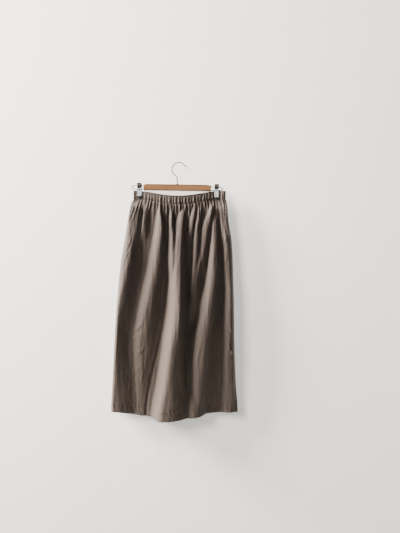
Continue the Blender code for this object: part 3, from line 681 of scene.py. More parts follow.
def add_node(tree, kind, settings=None, links=None):
    """One node with its settings, by property or socket name, and links from other sockets."""
    node = tree.nodes.new(kind)
    for key, value in (settings or {}).items():
        if key in node.inputs:
            node.inputs[key].default_value = value
        else:
            setattr(node, key, value)
    for key, source in (links or {}).items():
        tree.links.new(source, node.inputs[key])
    return node


def new_material(name):
    """An empty material and its node tree."""
    material = bpy.data.materials.new(name)
    material.use_nodes = True
    material.node_tree.nodes.clear()
    return material, material.node_tree


def finish_material(tree, shader):
    add_node(tree, "ShaderNodeOutputMaterial", links={"Surface": shader.outputs[0]})


def blend_colours(tree, factor, first, second):
    """Colour socket between two colours, sockets or linear ones, by a socket or a number."""
    mix = add_node(tree, "ShaderNodeMix", {"data_type": "RGBA"})
    if isinstance(factor, float):
        mix.inputs[0].default_value = factor
    else:
        tree.links.new(factor, mix.inputs[0])
    for place, value in ((6, first), (7, second)):
        if isinstance(value, tuple):
            mix.inputs[place].default_value = (*value, 1.0)
        else:
            tree.links.new(value, mix.inputs[place])
    return mix.outputs[2]


def noise(tree, place, scale=1.0, detail=2.0, roughness=0.5):
    """Socket of a soft noise over a place socket."""
    settings = {"Scale": scale, "Detail": detail, "Roughness": roughness}
    return add_node(tree, "ShaderNodeTexNoise", settings, {"Vector": place}).outputs[0]


def stretch(tree, place, *scale):
    """A place socket stretched along its three axes."""
    return add_node(tree, "ShaderNodeMapping", {"Scale": scale}, {"Vector": place}).outputs[0]


def ramp(tree, value, low, high, top=1.0):
    """Socket that rises from 0 to top while the value goes from low to high."""
    settings = {"From Min": low, "From Max": high, "To Max": top}
    return add_node(tree, "ShaderNodeMapRange", settings, {"Value": value}).outputs[0]


def reckon(tree, operation, first, second=None):
    """Socket with a sum, a product or the like of sockets and numbers."""
    node = add_node(tree, "ShaderNodeMath", {"operation": operation})
    for place, value in enumerate((first, second)):
        if isinstance(value, float):
            node.inputs[place].default_value = value
        elif value is not None:
            tree.links.new(value, node.inputs[place])
    return node.outputs[0]


def bumps(tree, height, strength, distance, under=None):
    """Socket of normals with small bumps, laid over other bumps where given."""
    links = {"Height": height} if under is None else {"Height": height, "Normal": under}
    settings = {"Strength": strength, "Distance": distance}
    return add_node(tree, "ShaderNodeBump", settings, links).outputs[0]


def woven_cloth(settings):
    """Washed plain-weave cotton with slubs: matt, with a faint nap that lightens its edges."""
    material, tree = new_material("washed_slub_cotton")
    cut = add_node(tree, "ShaderNodeUVMap", {"uv_map": "cut"}).outputs[0]
    # Slubs: thicker threads about 1.4 mm across that run 60 mm down and 30 mm across the cloth
    slub_down = noise(tree, stretch(tree, cut, 700.0, 17.0, 1.0), detail=3.0, roughness=0.6)
    slub_across = noise(tree, stretch(tree, cut, 33.0, 700.0, 1.0), detail=3.0, roughness=0.6)
    # Threads lie closer in the real cloth and are drawn 4.3 mm apart, as a soft grain under the light
    thread = {"Scale": 72.4153, "Distortion": 0.6, "Detail": 1.0}
    warp, weft = (
        add_node(tree, "ShaderNodeTexWave", {**thread, "bands_direction": axis}, {"Vector": cut})
        for axis in ("X", "Y")
    )
    weave = reckon(tree, "MULTIPLY", warp.outputs["Fac"], weft.outputs["Fac"])
    # Streaks where the dye took unevenly, 5 mm wide and 120 mm long, drawn coarse so that they show
    wash = noise(tree, stretch(tree, cut, 200.0, 8.0, 1.0), detail=5.0, roughness=0.55)
    slub_dip_tone_and_shade, plain, slub_top_wear_and_highlight = (hex_colour(c) for c in ("382d28", "574b44", "6e6259"))
    # The raised slubs are paler and the dips between them darker: partly the yarn's own uneven tone, partly
    # painted highlight on the raised slubs and painted shade in the dips
    base = blend_colours(tree, ramp(tree, slub_down, 0.3, 0.72), slub_dip_tone_and_shade, plain)
    base = blend_colours(tree, ramp(tree, slub_across, 0.35, 0.8, 0.5), base, slub_top_wear_and_highlight)
    base = blend_colours(tree, ramp(tree, wash, 0.3, 0.7), base, tuple(settings.colour))
    # A quarter of the plain dye over it all calms the pattern
    base = blend_colours(tree, 0.25, base, tuple(settings.colour))
    height = reckon(tree, "ADD", reckon(tree, "ADD", weave, slub_down), slub_across)
    threads = bumps(tree, height, 0.35, 0.0004)
    # Crushed places 17 mm across, as on cloth that was washed and not ironed
    crush = bumps(tree, noise(tree, cut, 60.0, 4.0), 0.25, 0.0015, threads)
    shader = add_node(tree, "ShaderNodeBsdfPrincipled", {
        "Roughness": 0.78, "IOR": 1.45, "Sheen Weight": settings.nap, "Sheen Roughness": 0.35,
        "Sheen Tint": (*hex_colour("d8ccc0"), 1.0),
    }, {"Base Color": base, "Normal": crush})
    finish_material(tree, shader)
    return material


def sewing_thread():
    """Polyester sewing thread, a shade darker than the cloth, with a slight shine."""
    material, tree = new_material("polyester_thread")
    place = add_node(tree, "ShaderNodeTexCoord")
    twist = add_node(tree, "ShaderNodeTexWave", {"Scale": 900.0, "bands_direction": "DIAGONAL"},
                     {"Vector": place.outputs["Object"]})
    colour = blend_colours(tree, twist.outputs["Fac"], hex_colour("4a3f38"), hex_colour("6b5c52"))
    shader = add_node(tree, "ShaderNodeBsdfPrincipled", {"Roughness": 0.5, "IOR": 1.5},
                      {"Base Color": colour})
    finish_material(tree, shader)
    return material


def lacquered_beech():
    """Beech under clear satin lacquer: honey colour with fine darker pores along the bar."""
    material, tree = new_material("lacquered_beech")
    place = add_node(tree, "ShaderNodeTexCoord")
    # Growth layers 4 mm apart that run the length of the bar
    grain = noise(tree, stretch(tree, place.outputs["Object"], 9.0, 120.0, 260.0), detail=6.0,
                  roughness=0.62)
    # Pores and rays 0.5 mm wide and 6 mm long, darker than the wood around them
    pores = noise(tree, stretch(tree, place.outputs["Object"], 170.0, 1500.0, 2200.0))
    wood = blend_colours(tree, ramp(tree, grain, 0.3, 0.7), hex_colour("8a5a30"), hex_colour("b07c48"))
    wood = blend_colours(tree, ramp(tree, pores, 0.58, 0.75, 0.6), wood, hex_colour("63401f"))
    # Painted shade on the rounded edges above and below, darker where they turn away from the light
    height = add_node(tree, "ShaderNodeSeparateXYZ", links={"Vector": place.outputs["Generated"]})
    from_middle = reckon(tree, "ABSOLUTE", reckon(tree, "SUBTRACT", height.outputs[2], 0.48))
    wood = blend_colours(tree, ramp(tree, from_middle, 0.31, 0.41, 0.9), wood, hex_colour("46301c"))
    shader = add_node(tree, "ShaderNodeBsdfPrincipled", {
        "Roughness": 0.42, "IOR": 1.5, "Coat Weight": 0.35, "Coat Roughness": 0.25,
    }, {"Base Color": wood, "Normal": bumps(tree, pores, 0.2, 0.0002)})
    finish_material(tree, shader)
    return material


def plated_steel(name, roughness, shade, edge="ffffff"):
    """Plated steel in one shade, with faint rubbing marks that break up its reflections."""
    material, tree = new_material(name)
    place = add_node(tree, "ShaderNodeTexCoord")
    rubbed = noise(tree, place.outputs["Object"], 320.0, 5.0, 0.7)
    rough = add_node(tree, "ShaderNodeMapRange",
                     {"To Min": roughness * 0.75, "To Max": roughness * 1.5}, {"Value": rubbed})
    bright = hex_colour(shade)
    colour = blend_colours(tree, rubbed, bright, tuple(0.72 * c for c in bright))
    shader = add_node(tree, "ShaderNodeBsdfPrincipled",
                      {"Metallic": 1.0, "Specular Tint": (*hex_colour(edge), 1.0)},
                      {"Base Color": colour, "Roughness": rough.outputs[0],
                       "Normal": bumps(tree, rubbed, 0.08, 0.0001)})
    finish_material(tree, shader)
    return material


def moulded_rubber():
    """Soft moulded rubber: near black and matt, with a dusty bloom."""
    material, tree = new_material("moulded_rubber")
    place = add_node(tree, "ShaderNodeTexCoord")
    bloom = noise(tree, place.outputs["Object"], 260.0, 4.0)
    colour = blend_colours(tree, bloom, hex_colour("1b1a19"), hex_colour("34302d"))
    shader = add_node(tree, "ShaderNodeBsdfPrincipled", {"Roughness": 0.85, "IOR": 1.5},
                      {"Base Color": colour, "Normal": bumps(tree, bloom, 0.3, 0.0002)})
    finish_material(tree, shader)
    return material


def painted_plaster(colour, glow):
    """Matt white paint on trowelled plaster, seen from its front only, with an even glow."""
    material, tree = new_material("painted_plaster")
    place = add_node(tree, "ShaderNodeTexCoord")
    trowel = noise(tree, place.outputs["Object"], 5.0, 6.0, 0.6)
    tint = blend_colours(tree, trowel, tuple(colour), tuple(0.93 * c for c in colour))
    paint = add_node(tree, "ShaderNodeBsdfPrincipled", {
        "Roughness": 0.9, "IOR": 1.45, "Emission Color": (*colour, 1.0), "Emission Strength": glow,
    }, {"Base Color": tint, "Normal": bumps(tree, trowel, 0.12, 0.003)})
    behind = add_node(tree, "ShaderNodeNewGeometry")
    clear = add_node(tree, "ShaderNodeBsdfTransparent")
    choice = add_node(tree, "ShaderNodeMixShader", links={"Fac": behind.outputs["Backfacing"]})
    tree.links.new(paint.outputs[0], choice.inputs[1])
    tree.links.new(clear.outputs[0], choice.inputs[2])
    finish_material(tree, choice)
    return material


FINISHES = {}


def finish_of(name):
    """Each finish is made once and shared."""
    if name not in FINISHES:
        scene = bpy.context.scene
        makers = {
            "cloth": lambda: woven_cloth(scene.skirt_cloth),
            "thread": sewing_thread,
            "beech": lacquered_beech,
            # The wire's near-black shade is painted: bright plated wire looks this dark only where it
            # reflects the dark room
            "wire": lambda: plated_steel("plated_wire_painted_dark", 0.3, "22201c", "3a3834"),
            "jaw": lambda: plated_steel("polished_plate", 0.2, "f6f4f0"),
            # The dark steel serves the coil springs, and on the clips' handles it is a painted reflection
            # of the dark room
            "spring": lambda: plated_steel("dark_steel_with_painted_handle_shade", 0.32, "3d3a38"),
            "rubber": moulded_rubber,
        }
        FINISHES[name] = makers[name]()
    return FINISHES[name]


# The sewn pieces

def panel_columns(first, last, step):
    """Thread lines of a panel, closer together where the cloth turns in to a side seam."""
    width = 430.0
    turn = [d / width for d in (0.3, 0.9, 1.8, 3.0, 4.6, 6.6, 9.0, 11.8)]
    fine = turn + [1.0 - t for t in turn]
    return spaced(first, last, step / width, fine)


def panel_rows(step):
    """Distances below the waist seam, closer together at the seam and at both ends of the hem."""
    hem = PANEL_LENGTH - HEM_DEPTH
    fine = [0.5, 1.5, 3.0, 5.0, 7.5, 10.5, hem - 3.0, hem - 1.2, hem, hem + 1.2, hem + 3.0,
            PANEL_LENGTH - 2.0, PANEL_LENGTH - 0.8, PANEL_LENGTH - 0.3]
    return spaced(-SEAM_ALLOWANCE, PANEL_LENGTH, step, fine)


def wall_thickness(fall):
    """One ply, and three where the hem is turned up twice."""
    return PLY * (1.0 + 2.0 * smooth((fall - (PANEL_LENGTH - HEM_DEPTH) + 1.0) / 2.0))


def sew_panel(node, side, first, last, settings, sunk=None, edge_hem=None):
    """A panel of the skirt as a thin shell, hanging from the band with its seam turned in."""
    step = settings.column_step * (0.7 if side == "front" else 1.0)
    u, fall = np.meshgrid(panel_columns(first, last, step), panel_rows(settings.row_step))
    outer = panel_face(u, fall, side)
    normal = facing(outer, OUTWARD[side])
    inward = np.where(fall < 0.0, 2.2 * smooth(-fall / 1.5), 0.0)
    if sunk is not None:
        inward = inward + sunk(outer[..., 0], outer[..., 2], fall)
    outer = outer - normal * inward[..., None]
    wall = wall_thickness(fall)
    if edge_hem is not None:
        wall = wall + edge_hem(outer[..., 0], outer[..., 2])
    inner = outer - normal * wall[..., None]
    threads = np.stack((u * CUT_WIDTH, -fall), axis=-1)
    obj = cloth_shell(f"{node}_cloth", outer, inner, threads, side == "front")
    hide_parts(node)
    return obj


def under_lap(x, z, fall):
    """The main panel dips to pass under the lapped one, and eases out past its edge."""
    beyond = x - along(LAP_EDGE, z)[..., 0] - LAP_OVER
    return (wall_thickness(fall) + PLY + 0.4) * (1.0 - smooth(beyond / LAP_EASE))


def lap_turning(x, z):
    """The lapped panel's free edge is turned in once, 12 mm wide."""
    return PLY * smooth((x - along(LAP_EDGE, z)[..., 0] + 13.0) / 1.5)


def line_on_panel(side, u, fall):
    """Points and normals along a line on a panel's outer face."""
    u, fall = np.broadcast_arrays(np.asarray(u, float), np.asarray(fall, float))
    here = panel_face(u, fall, side)
    across = panel_face(u + 0.0008, fall, side) - panel_face(u - 0.0008, fall, side)
    down = panel_face(u, fall + 0.4, side) - panel_face(u, fall - 0.4, side)
    normal = np.cross(across, down) * OUTWARD[side]
    return here, normal / np.linalg.norm(normal, axis=-1, keepdims=True)


def sew_line(name, side, u, fall):
    """Stitching along a line on a panel."""
    points, normals = line_on_panel(side, u, fall)
    obj = stitches(name, points, normals, 2.6, 0.9)
    return obj


def sew_band():
    """The waistband: a gathered casing over elastic, stitched above and below it."""
    column_step, sewn_above, sewn_below = 0.9, 5.2, 29.4
    count = round((BAND_RIGHT - BAND_LEFT) / column_step)
    turn = np.array((0.0, 0.15, 0.5, 1.1, 2.0, 3.2, 4.6)) / (BAND_RIGHT - BAND_LEFT)
    us = np.unique(np.concatenate((np.linspace(0.0, 1.0, count), turn, 1.0 - turn)))
    falls = np.array((0.0, 0.4, 1.2, 2.4, 3.6, 4.6, 5.2, 5.8, 6.8, 8.4, 10.5, 13.0, 16.0, 19.0, 22.0,
                      24.6, 26.8, 28.2, 29.0, 29.6, 30.4, 31.4, 32.3, 33.0))
    grids = {}
    for side, fractions in (("front", us), ("back", us[::-1][1:-1])):
        u, fall = np.meshgrid(fractions, falls)
        x = band_x(u)
        plump = np.sin(np.pi * np.clip((fall - sewn_above) / 24.0, 0.0, 1.0)) ** 0.6
        sewn = np.exp(-((fall - sewn_above) ** 2)) + np.exp(-((fall - sewn_below) ** 2))
        loose = 1.0 - clip_hold(x)
        wave = gather_height(u, 0.0, side) / GATHER_HEIGHT
        lower = 0.45 + 0.55 * smooth((fall - 9.0) / 16.0)
        lift = loose * (wave * (1.3 + 1.3 * plump) * lower * (1.0 - 0.45 * sewn) - 0.5 * sewn)
        lift = lift + loose * 0.7 * ripples(x + 0.3 * fall, fall, 71, 4.2, 16.0) * (0.4 + 0.6 * plump)
        ends = side_round(np.minimum(x - BAND_LEFT, BAND_RIGHT - x), BAND_END_ROUND)
        depth = band_depth(x, BAND_BOW[side]) + lift * ends
        top = band_top(x) + loose * ends * 0.7 * (wave - 0.4) * (1.0 - smooth(fall / 6.0))
        grids[side] = np.stack((x, depth * OUTWARD[side], top - fall), axis=-1)
    outer = np.concatenate((grids["front"], grids["back"]), axis=1)
    normal = facing(outer, -1.0, ring=True)
    level = normal * (1.0, 1.0, 0.0)
    level = level / np.maximum(np.linalg.norm(level, axis=-1, keepdims=True), 0.3)
    inner = outer - level * BAND_WALL
    threads = np.stack(np.meshgrid(np.linspace(0.0, BAND_AROUND, outer.shape[1]), -falls), axis=-1)
    band = cloth_shell("waistband_cloth", outer, inner, threads, True, ring=True)
    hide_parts("waistband")
    for label, row in (("top", 6), ("seam", 18)):
        line = np.concatenate((outer[row], outer[row][:1]))
        up = np.concatenate((normal[row], normal[row][:1]))
        thread = stitches(f"band_{label}_stitching", line, up, 2.2, 0.7, 0.25)


def sew_front(settings):
    """The two front panels with their lap, hem and edge stitching."""
    lap, under = float(GATHER_EDGES[LAP_GATHER]), float(GATHER_EDGES[UNDERLAP_GATHER])
    main = sew_panel("front_main", "front", under, 1.0, settings, sunk=under_lap)
    side = sew_panel("front_side", "front", 0.0, lap, settings, edge_hem=lap_turning)
    falls = np.linspace(4.0, PANEL_LENGTH - 3.0, 500)
    edge = sew_line("lap_edge_stitching", "front", lap - 0.016, falls)
    hem = PANEL_LENGTH - HEM_DEPTH
    left = sew_line("hem_stitching_side", "front", np.linspace(0.006, lap - 0.004, 260), hem)
    right = sew_line("hem_stitching_main", "front", np.linspace(lap + 0.03, 0.994, 500), hem)


def sew_back(settings):
    """The back panel, gathered like the front."""
    back = sew_panel("back_panel", "back", 0.0, 1.0, settings)
    hem = sew_line("hem_stitching_back", "back", np.linspace(0.006, 0.994, 700), PANEL_LENGTH - HEM_DEPTH)


def sew_pocket_mouth(label):
    """A pocket's opening beside the side seam: a folded edge, its topstitching and two bar tacks."""
    u, start, end = POCKETS[label]
    inward = INWARD[label]
    falls = np.linspace(start, end, 70)
    t, fall = np.meshgrid(np.linspace(0.0, 1.0, 12), falls)
    ends = np.clip(np.minimum(fall - start, end - fall) / 6.0, 0.0, 1.0)
    slant = inward * 0.012 * (1.0 - (fall - start) / (end - start))
    lines = u + slant + inward * t * 0.019
    face, normal = line_on_panel("front", lines, fall)
    rise = 0.35 + 0.9 * (1.0 - t) ** 3 + 0.5 * np.exp(-((t - 0.12) / 0.1) ** 2)
    rise = np.where(t > 0.93, 0.05, rise * (0.25 + 0.75 * ends))
    outer = face + normal * rise[..., None]
    inner = face - normal * 0.35
    threads = np.stack((lines * CUT_WIDTH, -fall), axis=-1)
    welt = cloth_shell(f"pocket_mouth_{label}", outer, inner, threads, label == "left")
    line, up = line_on_panel("front", u + slant[:, 0] + inward * 0.0135, falls)
    top = stitches(f"pocket_stitching_{label}", line + up * 0.45, up, 2.4, 0.8, 0.25)
    tacks = []
    for fall_at in (start + 1.0, end - 1.0):
        slanted = 0.012 * (1.0 - (fall_at - start) / (end - start))
        lines_at = u + inward * (slanted + np.linspace(0.0, 0.017, 14))
        for step in (-0.7, 0.0, 0.7):
            place, up = line_on_panel("front", lines_at, fall_at + step)
            tacks.append(sweep(place + up * 0.9, 0.42, 6))
    points, faces = join(tacks)
    bars = mesh_object(f"bar_tacks_{label}", points, faces, finish_of("thread"))


def sew_pocket_bag(label):
    """A pocket bag of the same cloth, inside the front: two plies with a seam around them."""
    node = f"pocket_bag_{label}"
    inward = INWARD[label]
    t, v = np.meshgrid(np.linspace(0.0, 1.0, 60), np.linspace(0.0, 1.0, 120))
    rounded = BAG_ROUND * (1.0 - np.sqrt(1.0 - 0.96 * t * t))
    z = BAG_TOP - v * (BAG_DEPTH - rounded)
    section = along(SECTIONS, z)
    seam = section[..., LEFT if label == "left" else RIGHT]
    x = seam + inward * (BAG_FROM_SEAM + t * (BAG_WIDTH - 14.0 * v * v))
    curve = side_round(BAG_FROM_SEAM + t * BAG_WIDTH, SIDE_ROUND)
    face = section[..., BASE["front"]] * curve - BAG_CLEAR
    edge = np.minimum(np.minimum(t, 1.0 - t) * BAG_WIDTH, np.minimum(v, 1.0 - v) * BAG_REACH)
    plump = 0.35 + 0.65 * smooth(edge / 12.0) - 0.25 * np.exp(-(((edge - 8.0) / 1.2) ** 2))
    wave = 0.25 * ripples(x, z, 51, 20.0, 60.0) * smooth(edge / 15.0)
    outer = np.stack((x, -(face - 1.1 + plump), z), axis=-1)
    inner = np.stack((x, -(face - 1.1 - plump + wave * 0.5), z), axis=-1)
    threads = np.stack((x, z), axis=-1)
    bag = cloth_shell(f"{node}_cloth", outer, inner, threads, label == "left")
    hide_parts(node)


# The hanger

def curve_between(start, first, second, end, count):
    """Points of a curve that leaves and reaches its ends along two handles."""
    t = np.linspace(0.0, 1.0, count, endpoint=False)[:, None]
    s = 1.0 - t
    return s**3 * start + 3 * s * s * t * first + 3 * s * t * t * second + t**3 * end


def hook_path():
    """The wire's middle line: up out of the bar, around over the top and out to its tip."""
    centre = np.array((0.0, 0.0, -(HOOK_RADIUS - HOOK_WIRE)))

    def on_circle(angle):
        return centre + HOOK_RADIUS * np.array((math.cos(angle), 0.0, math.sin(angle)))

    def around(angle):
        return np.array((math.sin(angle), 0.0, -math.cos(angle)))

    foot = np.array((BAR_CENTRE, 0.0, BAR_TOP + GAP))
    bend = np.array((BAR_CENTRE, 0.0, HOOK_BEND))
    start, top = on_circle(HOOK_ENTER), on_circle(HOOK_LEAVE)
    tip = top + np.array((HOOK_TIP[0], 0.0, HOOK_TIP[1]))
    angles = np.linspace(HOOK_ENTER, HOOK_LEAVE, 48, endpoint=False)
    return np.concatenate((
        np.linspace(foot, bend, 8, endpoint=False),
        curve_between(bend, bend + (0.0, 0.0, HOOK_BEND_RISE),
                      start - around(HOOK_ENTER) * HOOK_BEND_REACH, start, 18),
        [on_circle(a) for a in angles],
        curve_between(top, top + around(HOOK_LEAVE) * HOOK_TIP_REACH, tip - (3.5, 0.0, -0.8), tip, 12),
        [tip],
    ))


def loop_path(outward):
    """A loop's middle line: out of the bar's end along the top, round, and back below."""
    root = BAR_CENTRE + outward * (BAR_LENGTH / 2.0 + GAP)
    radius = (LOOP_TOP - LOOP_BOTTOM) / 2.0
    turn = BAR_CENTRE + outward * (BAR_LENGTH / 2.0 + LOOP_REACH - radius)
    angles = np.linspace(math.pi / 2.0, -math.pi / 2.0, 22)
    bend = np.stack((turn + outward * radius * np.cos(angles), np.zeros_like(angles),
                     LOOP_MIDDLE + radius * np.sin(angles)), axis=1)
    top = np.linspace((root, 0.0, LOOP_TOP), bend[0], 8, endpoint=False)
    low = np.linspace(bend[-1], (root, 0.0, LOOP_BOTTOM), 9)[1:]
    return np.concatenate((top, bend, low))


def bend_wires():
    """Hook and loops as smooth plated wire, with collars where they enter the wooden bar."""
    path = hook_path()
    radius = np.full(len(path), HOOK_WIRE)
    radius[-3:] = HOOK_WIRE * np.array((0.97, 0.8, 0.4))
    collar = np.array([(BAR_CENTRE, 0.0, BAR_TOP + z) for z in (0.15, 0.5, 1.5, 2.6, 3.0)])
    points, faces = join((
        sweep(path, radius, 16), sweep(collar, (3.4, 3.9, 3.9, 3.3, 2.0), 20),
    ))
    hook = mesh_object("hook_wire", points, faces, finish_of("wire"))
    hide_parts("hanger_hook")
    for label, outward in (("left", -1.0), ("right", 1.0)):
        parts = [sweep(loop_path(outward), LOOP_WIRE, 14)]
        root = BAR_CENTRE + outward * BAR_LENGTH / 2.0
        for z in (LOOP_TOP, LOOP_BOTTOM):
            ring = np.array([(root + outward * d, 0.0, z) for d in (0.1, 0.4, 1.2, 1.6)])
            parts.append(sweep(ring, (2.2, 2.5, 2.4, 1.7), 14))
        points, faces = join(parts)
        loop = mesh_object(f"loop_wire_{label}", points, faces, finish_of("wire"))
        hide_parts(f"loop_{label}")


def oblong(half, wave, power):
    """A cosine or sine pressed outwards, so that a ring of points becomes an oblong."""
    return half * np.sign(wave) * np.abs(wave) ** power


def bar_surface():
    """The wooden bar: an oblong with rounded edges whose top runs down a little at its ends."""
    half = BAR_LENGTH / 2.0
    stations = np.concatenate((
        -half + np.array((0.0, 0.4, 1.0, 2.0, 4.0, 8.0, 14.0)),
        np.linspace(-half + 20.0, half - 20.0, 20),
        half - np.array((14.0, 8.0, 4.0, 2.0, 1.0, 0.4, 0.0)),
    ))
    turn = np.linspace(0.0, 2.0 * math.pi, 48, endpoint=False)
    rings = []
    for x in stations:
        from_end = half - abs(x)
        drop = BAR_DROP * (1.0 - smooth(from_end / BAR_DROP_LENGTH))
        shrink = BAR_ROUND * (1.0 - float(side_round(from_end, BAR_ROUND)))
        high, low = -drop - shrink, -BAR_HEIGHT + shrink
        y = oblong(BAR_DEPTH / 2.0 - shrink, np.cos(turn), 0.32)
        z = (high + low) / 2.0 + oblong((high - low) / 2.0, np.sin(turn), 0.22)
        rings.append(np.stack((np.full(len(turn), BAR_CENTRE + x), y, BAR_TOP + z), axis=1))
    return np.concatenate(rings), rod_faces(len(rings), len(turn), turned=True)


def shape_bar():
    """The bar of beech."""
    points, faces = bar_surface()
    bar = mesh_object("beech_bar", points, faces, finish_of("beech"))
    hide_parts("hanger_bar")


def jaw_plate(label, side):
    """One bent plate of a clip: a curled handle above the hinge, a ribbed jaw below it."""
    centre, sign = CLIPS[label], OUTWARD[side]
    grip = BAND_PINCH + GAP
    profile = np.array((
        (CLIP_TOP, CLIP_HANDLE), (CLIP_TOP - 2.0, CLIP_HANDLE), (CLIP_HINGE, CLIP_HINGE_SPREAD),
        (LOOP_BOTTOM, CLIP_HINGE_SPREAD), (LOOP_BOTTOM - 4.0, grip), (CLIP_BOTTOM, grip),
    ))
    heights = np.concatenate((
        np.linspace(CLIP_TOP, CLIP_HINGE, 12, endpoint=False),
        np.linspace(CLIP_HINGE, LOOP_BOTTOM - 4.0, 12, endpoint=False),
        np.linspace(LOOP_BOTTOM - 4.0, CLIP_BOTTOM, 18),
    ))
    s, z = np.meshgrid(np.linspace(-1.0, 1.0, 19), heights)
    depth = np.interp(-z, -profile[:, 0], profile[:, 1])
    corner = np.minimum(CLIP_TOP - z, z - CLIP_BOTTOM)
    half = CLIP_WIDTH / 2.0 - CLIP_CORNER * (1.0 - side_round(corner, CLIP_CORNER))
    rib = 0.45 * np.exp(-((np.abs(s) - 0.55) / 0.13) ** 2) * smooth((LOOP_BOTTOM - 3.0 - z) / 4.0)
    rib = rib * smooth((z - CLIP_BOTTOM - 1.5) / 3.0)
    plate = CLIP_PLATE - 0.2
    outer = np.stack((centre + s * half, sign * (depth + plate + rib * 0.5), z), axis=-1)
    inner = np.stack((centre + s * half, sign * depth, z), axis=-1)
    points, faces = shell(outer, inner, side == "front")
    obj = mesh_object(f"clip_{label}_{side}_plate", points, faces, finish_of("jaw"))
    # Faces above HANDLE_END take the dark steel: painted reflection, the bright plate's handle drawn dark
    # where it reflects the dark room
    obj.data.materials.append(finish_of("spring"))
    for face in obj.data.polygons:
        face.material_index = int(face.center.z / MM > HANDLE_END)
    obj.data.set_sharp_from_angle(angle=math.radians(42.0))
    bevel(obj, 0.25, 2)
    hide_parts(f"clip_{label}_{side}_jaw")


def rubber_tip(label, side):
    """The soft tip on a jaw, with small ridges across it."""
    centre, sign = CLIPS[label], OUTWARD[side]
    top, width = CLIP_BOTTOM - GAP, CLIP_WIDTH + 0.4
    base = BAND_PINCH + GAP
    turn = np.linspace(0.0, 2.0 * math.pi, 40, endpoint=False)
    rings = []
    for s in np.linspace(-1.0, 1.0, 13):
        close = 1.0 - 0.5 * abs(s) ** 8
        y = oblong(TIP_PLATE / 2.0 * close, np.cos(turn), 0.5)
        z = oblong(TIP_HEIGHT / 2.0 * close, np.sin(turn), 0.45)
        ridge = 0.12 * np.cos(z * 2.0 * math.pi / 1.25) * (np.cos(turn) > 0.3)
        rings.append(np.stack((np.full(len(turn), centre + s * width / 2.0),
                               sign * (base + TIP_PLATE / 2.0 + y - 0.12 + ridge),
                               top - TIP_HEIGHT / 2.0 + z), axis=1))
    faces = rod_faces(len(rings), len(turn), turned=True)
    if side == "front":
        faces = [face[::-1] for face in faces]
    obj = mesh_object(f"clip_{label}_{side}_pad", np.concatenate(rings), faces, finish_of("rubber"))
    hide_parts(f"clip_{label}_{side}_tip")


def coil_spring(label):
    """The clip's spring: eleven turns of wire between the two plates, on a pin."""
    centre = CLIPS[label]
    t = np.linspace(0.0, 1.0, SPRING_TURNS * 18)
    angle = 2.0 * math.pi * SPRING_TURNS * t
    helix = np.stack((centre - SPRING_REACH + 2.0 * SPRING_REACH * t, SPRING_RADIUS * np.cos(angle),
                      LOOP_MIDDLE + SPRING_RADIUS * np.sin(angle)), axis=1)
    pin = np.linspace((centre - PIN_REACH, 0.0, LOOP_MIDDLE), (centre + PIN_REACH, 0.0, LOOP_MIDDLE), 3)
    points, faces = join((sweep(helix, SPRING_WIRE, 7), sweep(pin, PIN_RADIUS, 12)))
    obj = mesh_object(f"clip_{label}_coil", points, faces, finish_of("spring"))
    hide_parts(f"clip_{label}_spring")


# Stage and camera

def stage_sheet(name, corners, material):
    """A flat sheet of the room, from four corners."""
    mesh = bpy.data.meshes.new(name)
    mesh.from_pydata(corners, [], [(0, 1, 2, 3)])
    mesh.materials.append(material)
    obj = bpy.data.objects.new(name, mesh)
    bpy.context.scene.collection.objects.link(obj)
    return obj


def soft_light(name, place, target, size, power, colour):
    """A wide soft lamp that faces a point."""
    lamp = bpy.data.lights.new(name, "AREA")
    lamp.shape = "RECTANGLE"
    lamp.size, lamp.size_y = size
    lamp.energy = power
    lamp.color = colour
    obj = bpy.data.objects.new(name, lamp)
    obj.location = place
    obj.rotation_euler = (Vector(target) - Vector(place)).to_track_quat("-Z", "Y").to_euler()
    obj.visible_camera = False
    bpy.context.scene.collection.objects.link(obj)
    return obj


def light_only(lamp, objects):
    """Keep a lamp's light to some objects, as flags on stands would. Others still cast shadows."""
    lit = bpy.data.collections.new(lamp.name)
    for obj in objects:
        lit.objects.link(obj)
    lamp.light_linking.receiver_collection = lit


def set_stage(settings):
    """Wall and floor, four lamps and the light that the camera sees behind everything."""
    paint = painted_plaster(settings.wall_colour, settings.wall_glow)
    wide, wall_y = ROOM_HALF, settings.wall_distance
    wall = stage_sheet("wall", [(-wide, wall_y, FLOOR_Z), (wide, wall_y, FLOOR_Z),
                                (wide, wall_y, WALL_TOP), (-wide, wall_y, WALL_TOP)], paint)
    wall.visible_shadow = False
    floor = stage_sheet("floor", [(-wide, -FLOOR_HALF, FLOOR_Z), (wide, -FLOOR_HALF, FLOOR_Z),
                                  (wide, FLOOR_HALF, FLOOR_Z), (-wide, FLOOR_HALF, FLOOR_Z)], paint)
    floor.visible_diffuse = False
    warm, cool = hex_colour("fffaf2"), hex_colour("f4f7ff")
    soft_light("window", (-4.55, -0.72, 2.55), LAMP_AIM, (2.4, 2.0), settings.key_power, warm)
    soft_light("behind", (2.3, 1.7, 0.7), LAMP_AIM, (1.4, 1.4), settings.back_power, cool)
    soft_light("card", (-0.15, -2.6, 0.40), (0.0, 0.0, -0.1), (1.1, 0.5), settings.card_power, cool)
    wash = soft_light("wall_wash", (-1.5, -1.9, 0.6), LAMP_AIM, (0.9, 0.9), settings.wash_power, warm)
    light_only(wash, [wall])
    world = bpy.data.worlds.new("room_light")
    world.use_nodes = True
    tree = world.node_tree
    background = tree.nodes["Background"]
    background.inputs["Color"].default_value = (*hex_colour("f2f1ee"), 1.0)
    ray = add_node(tree, "ShaderNodeLightPath")
    strength = add_node(tree, "ShaderNodeMapRange", {"To Min": settings.room_light, "To Max": 1.6},
                        {"Value": ray.outputs["Is Camera Ray"]})
    tree.links.new(strength.outputs[0], background.inputs["Strength"])
    bpy.context.scene.world = world


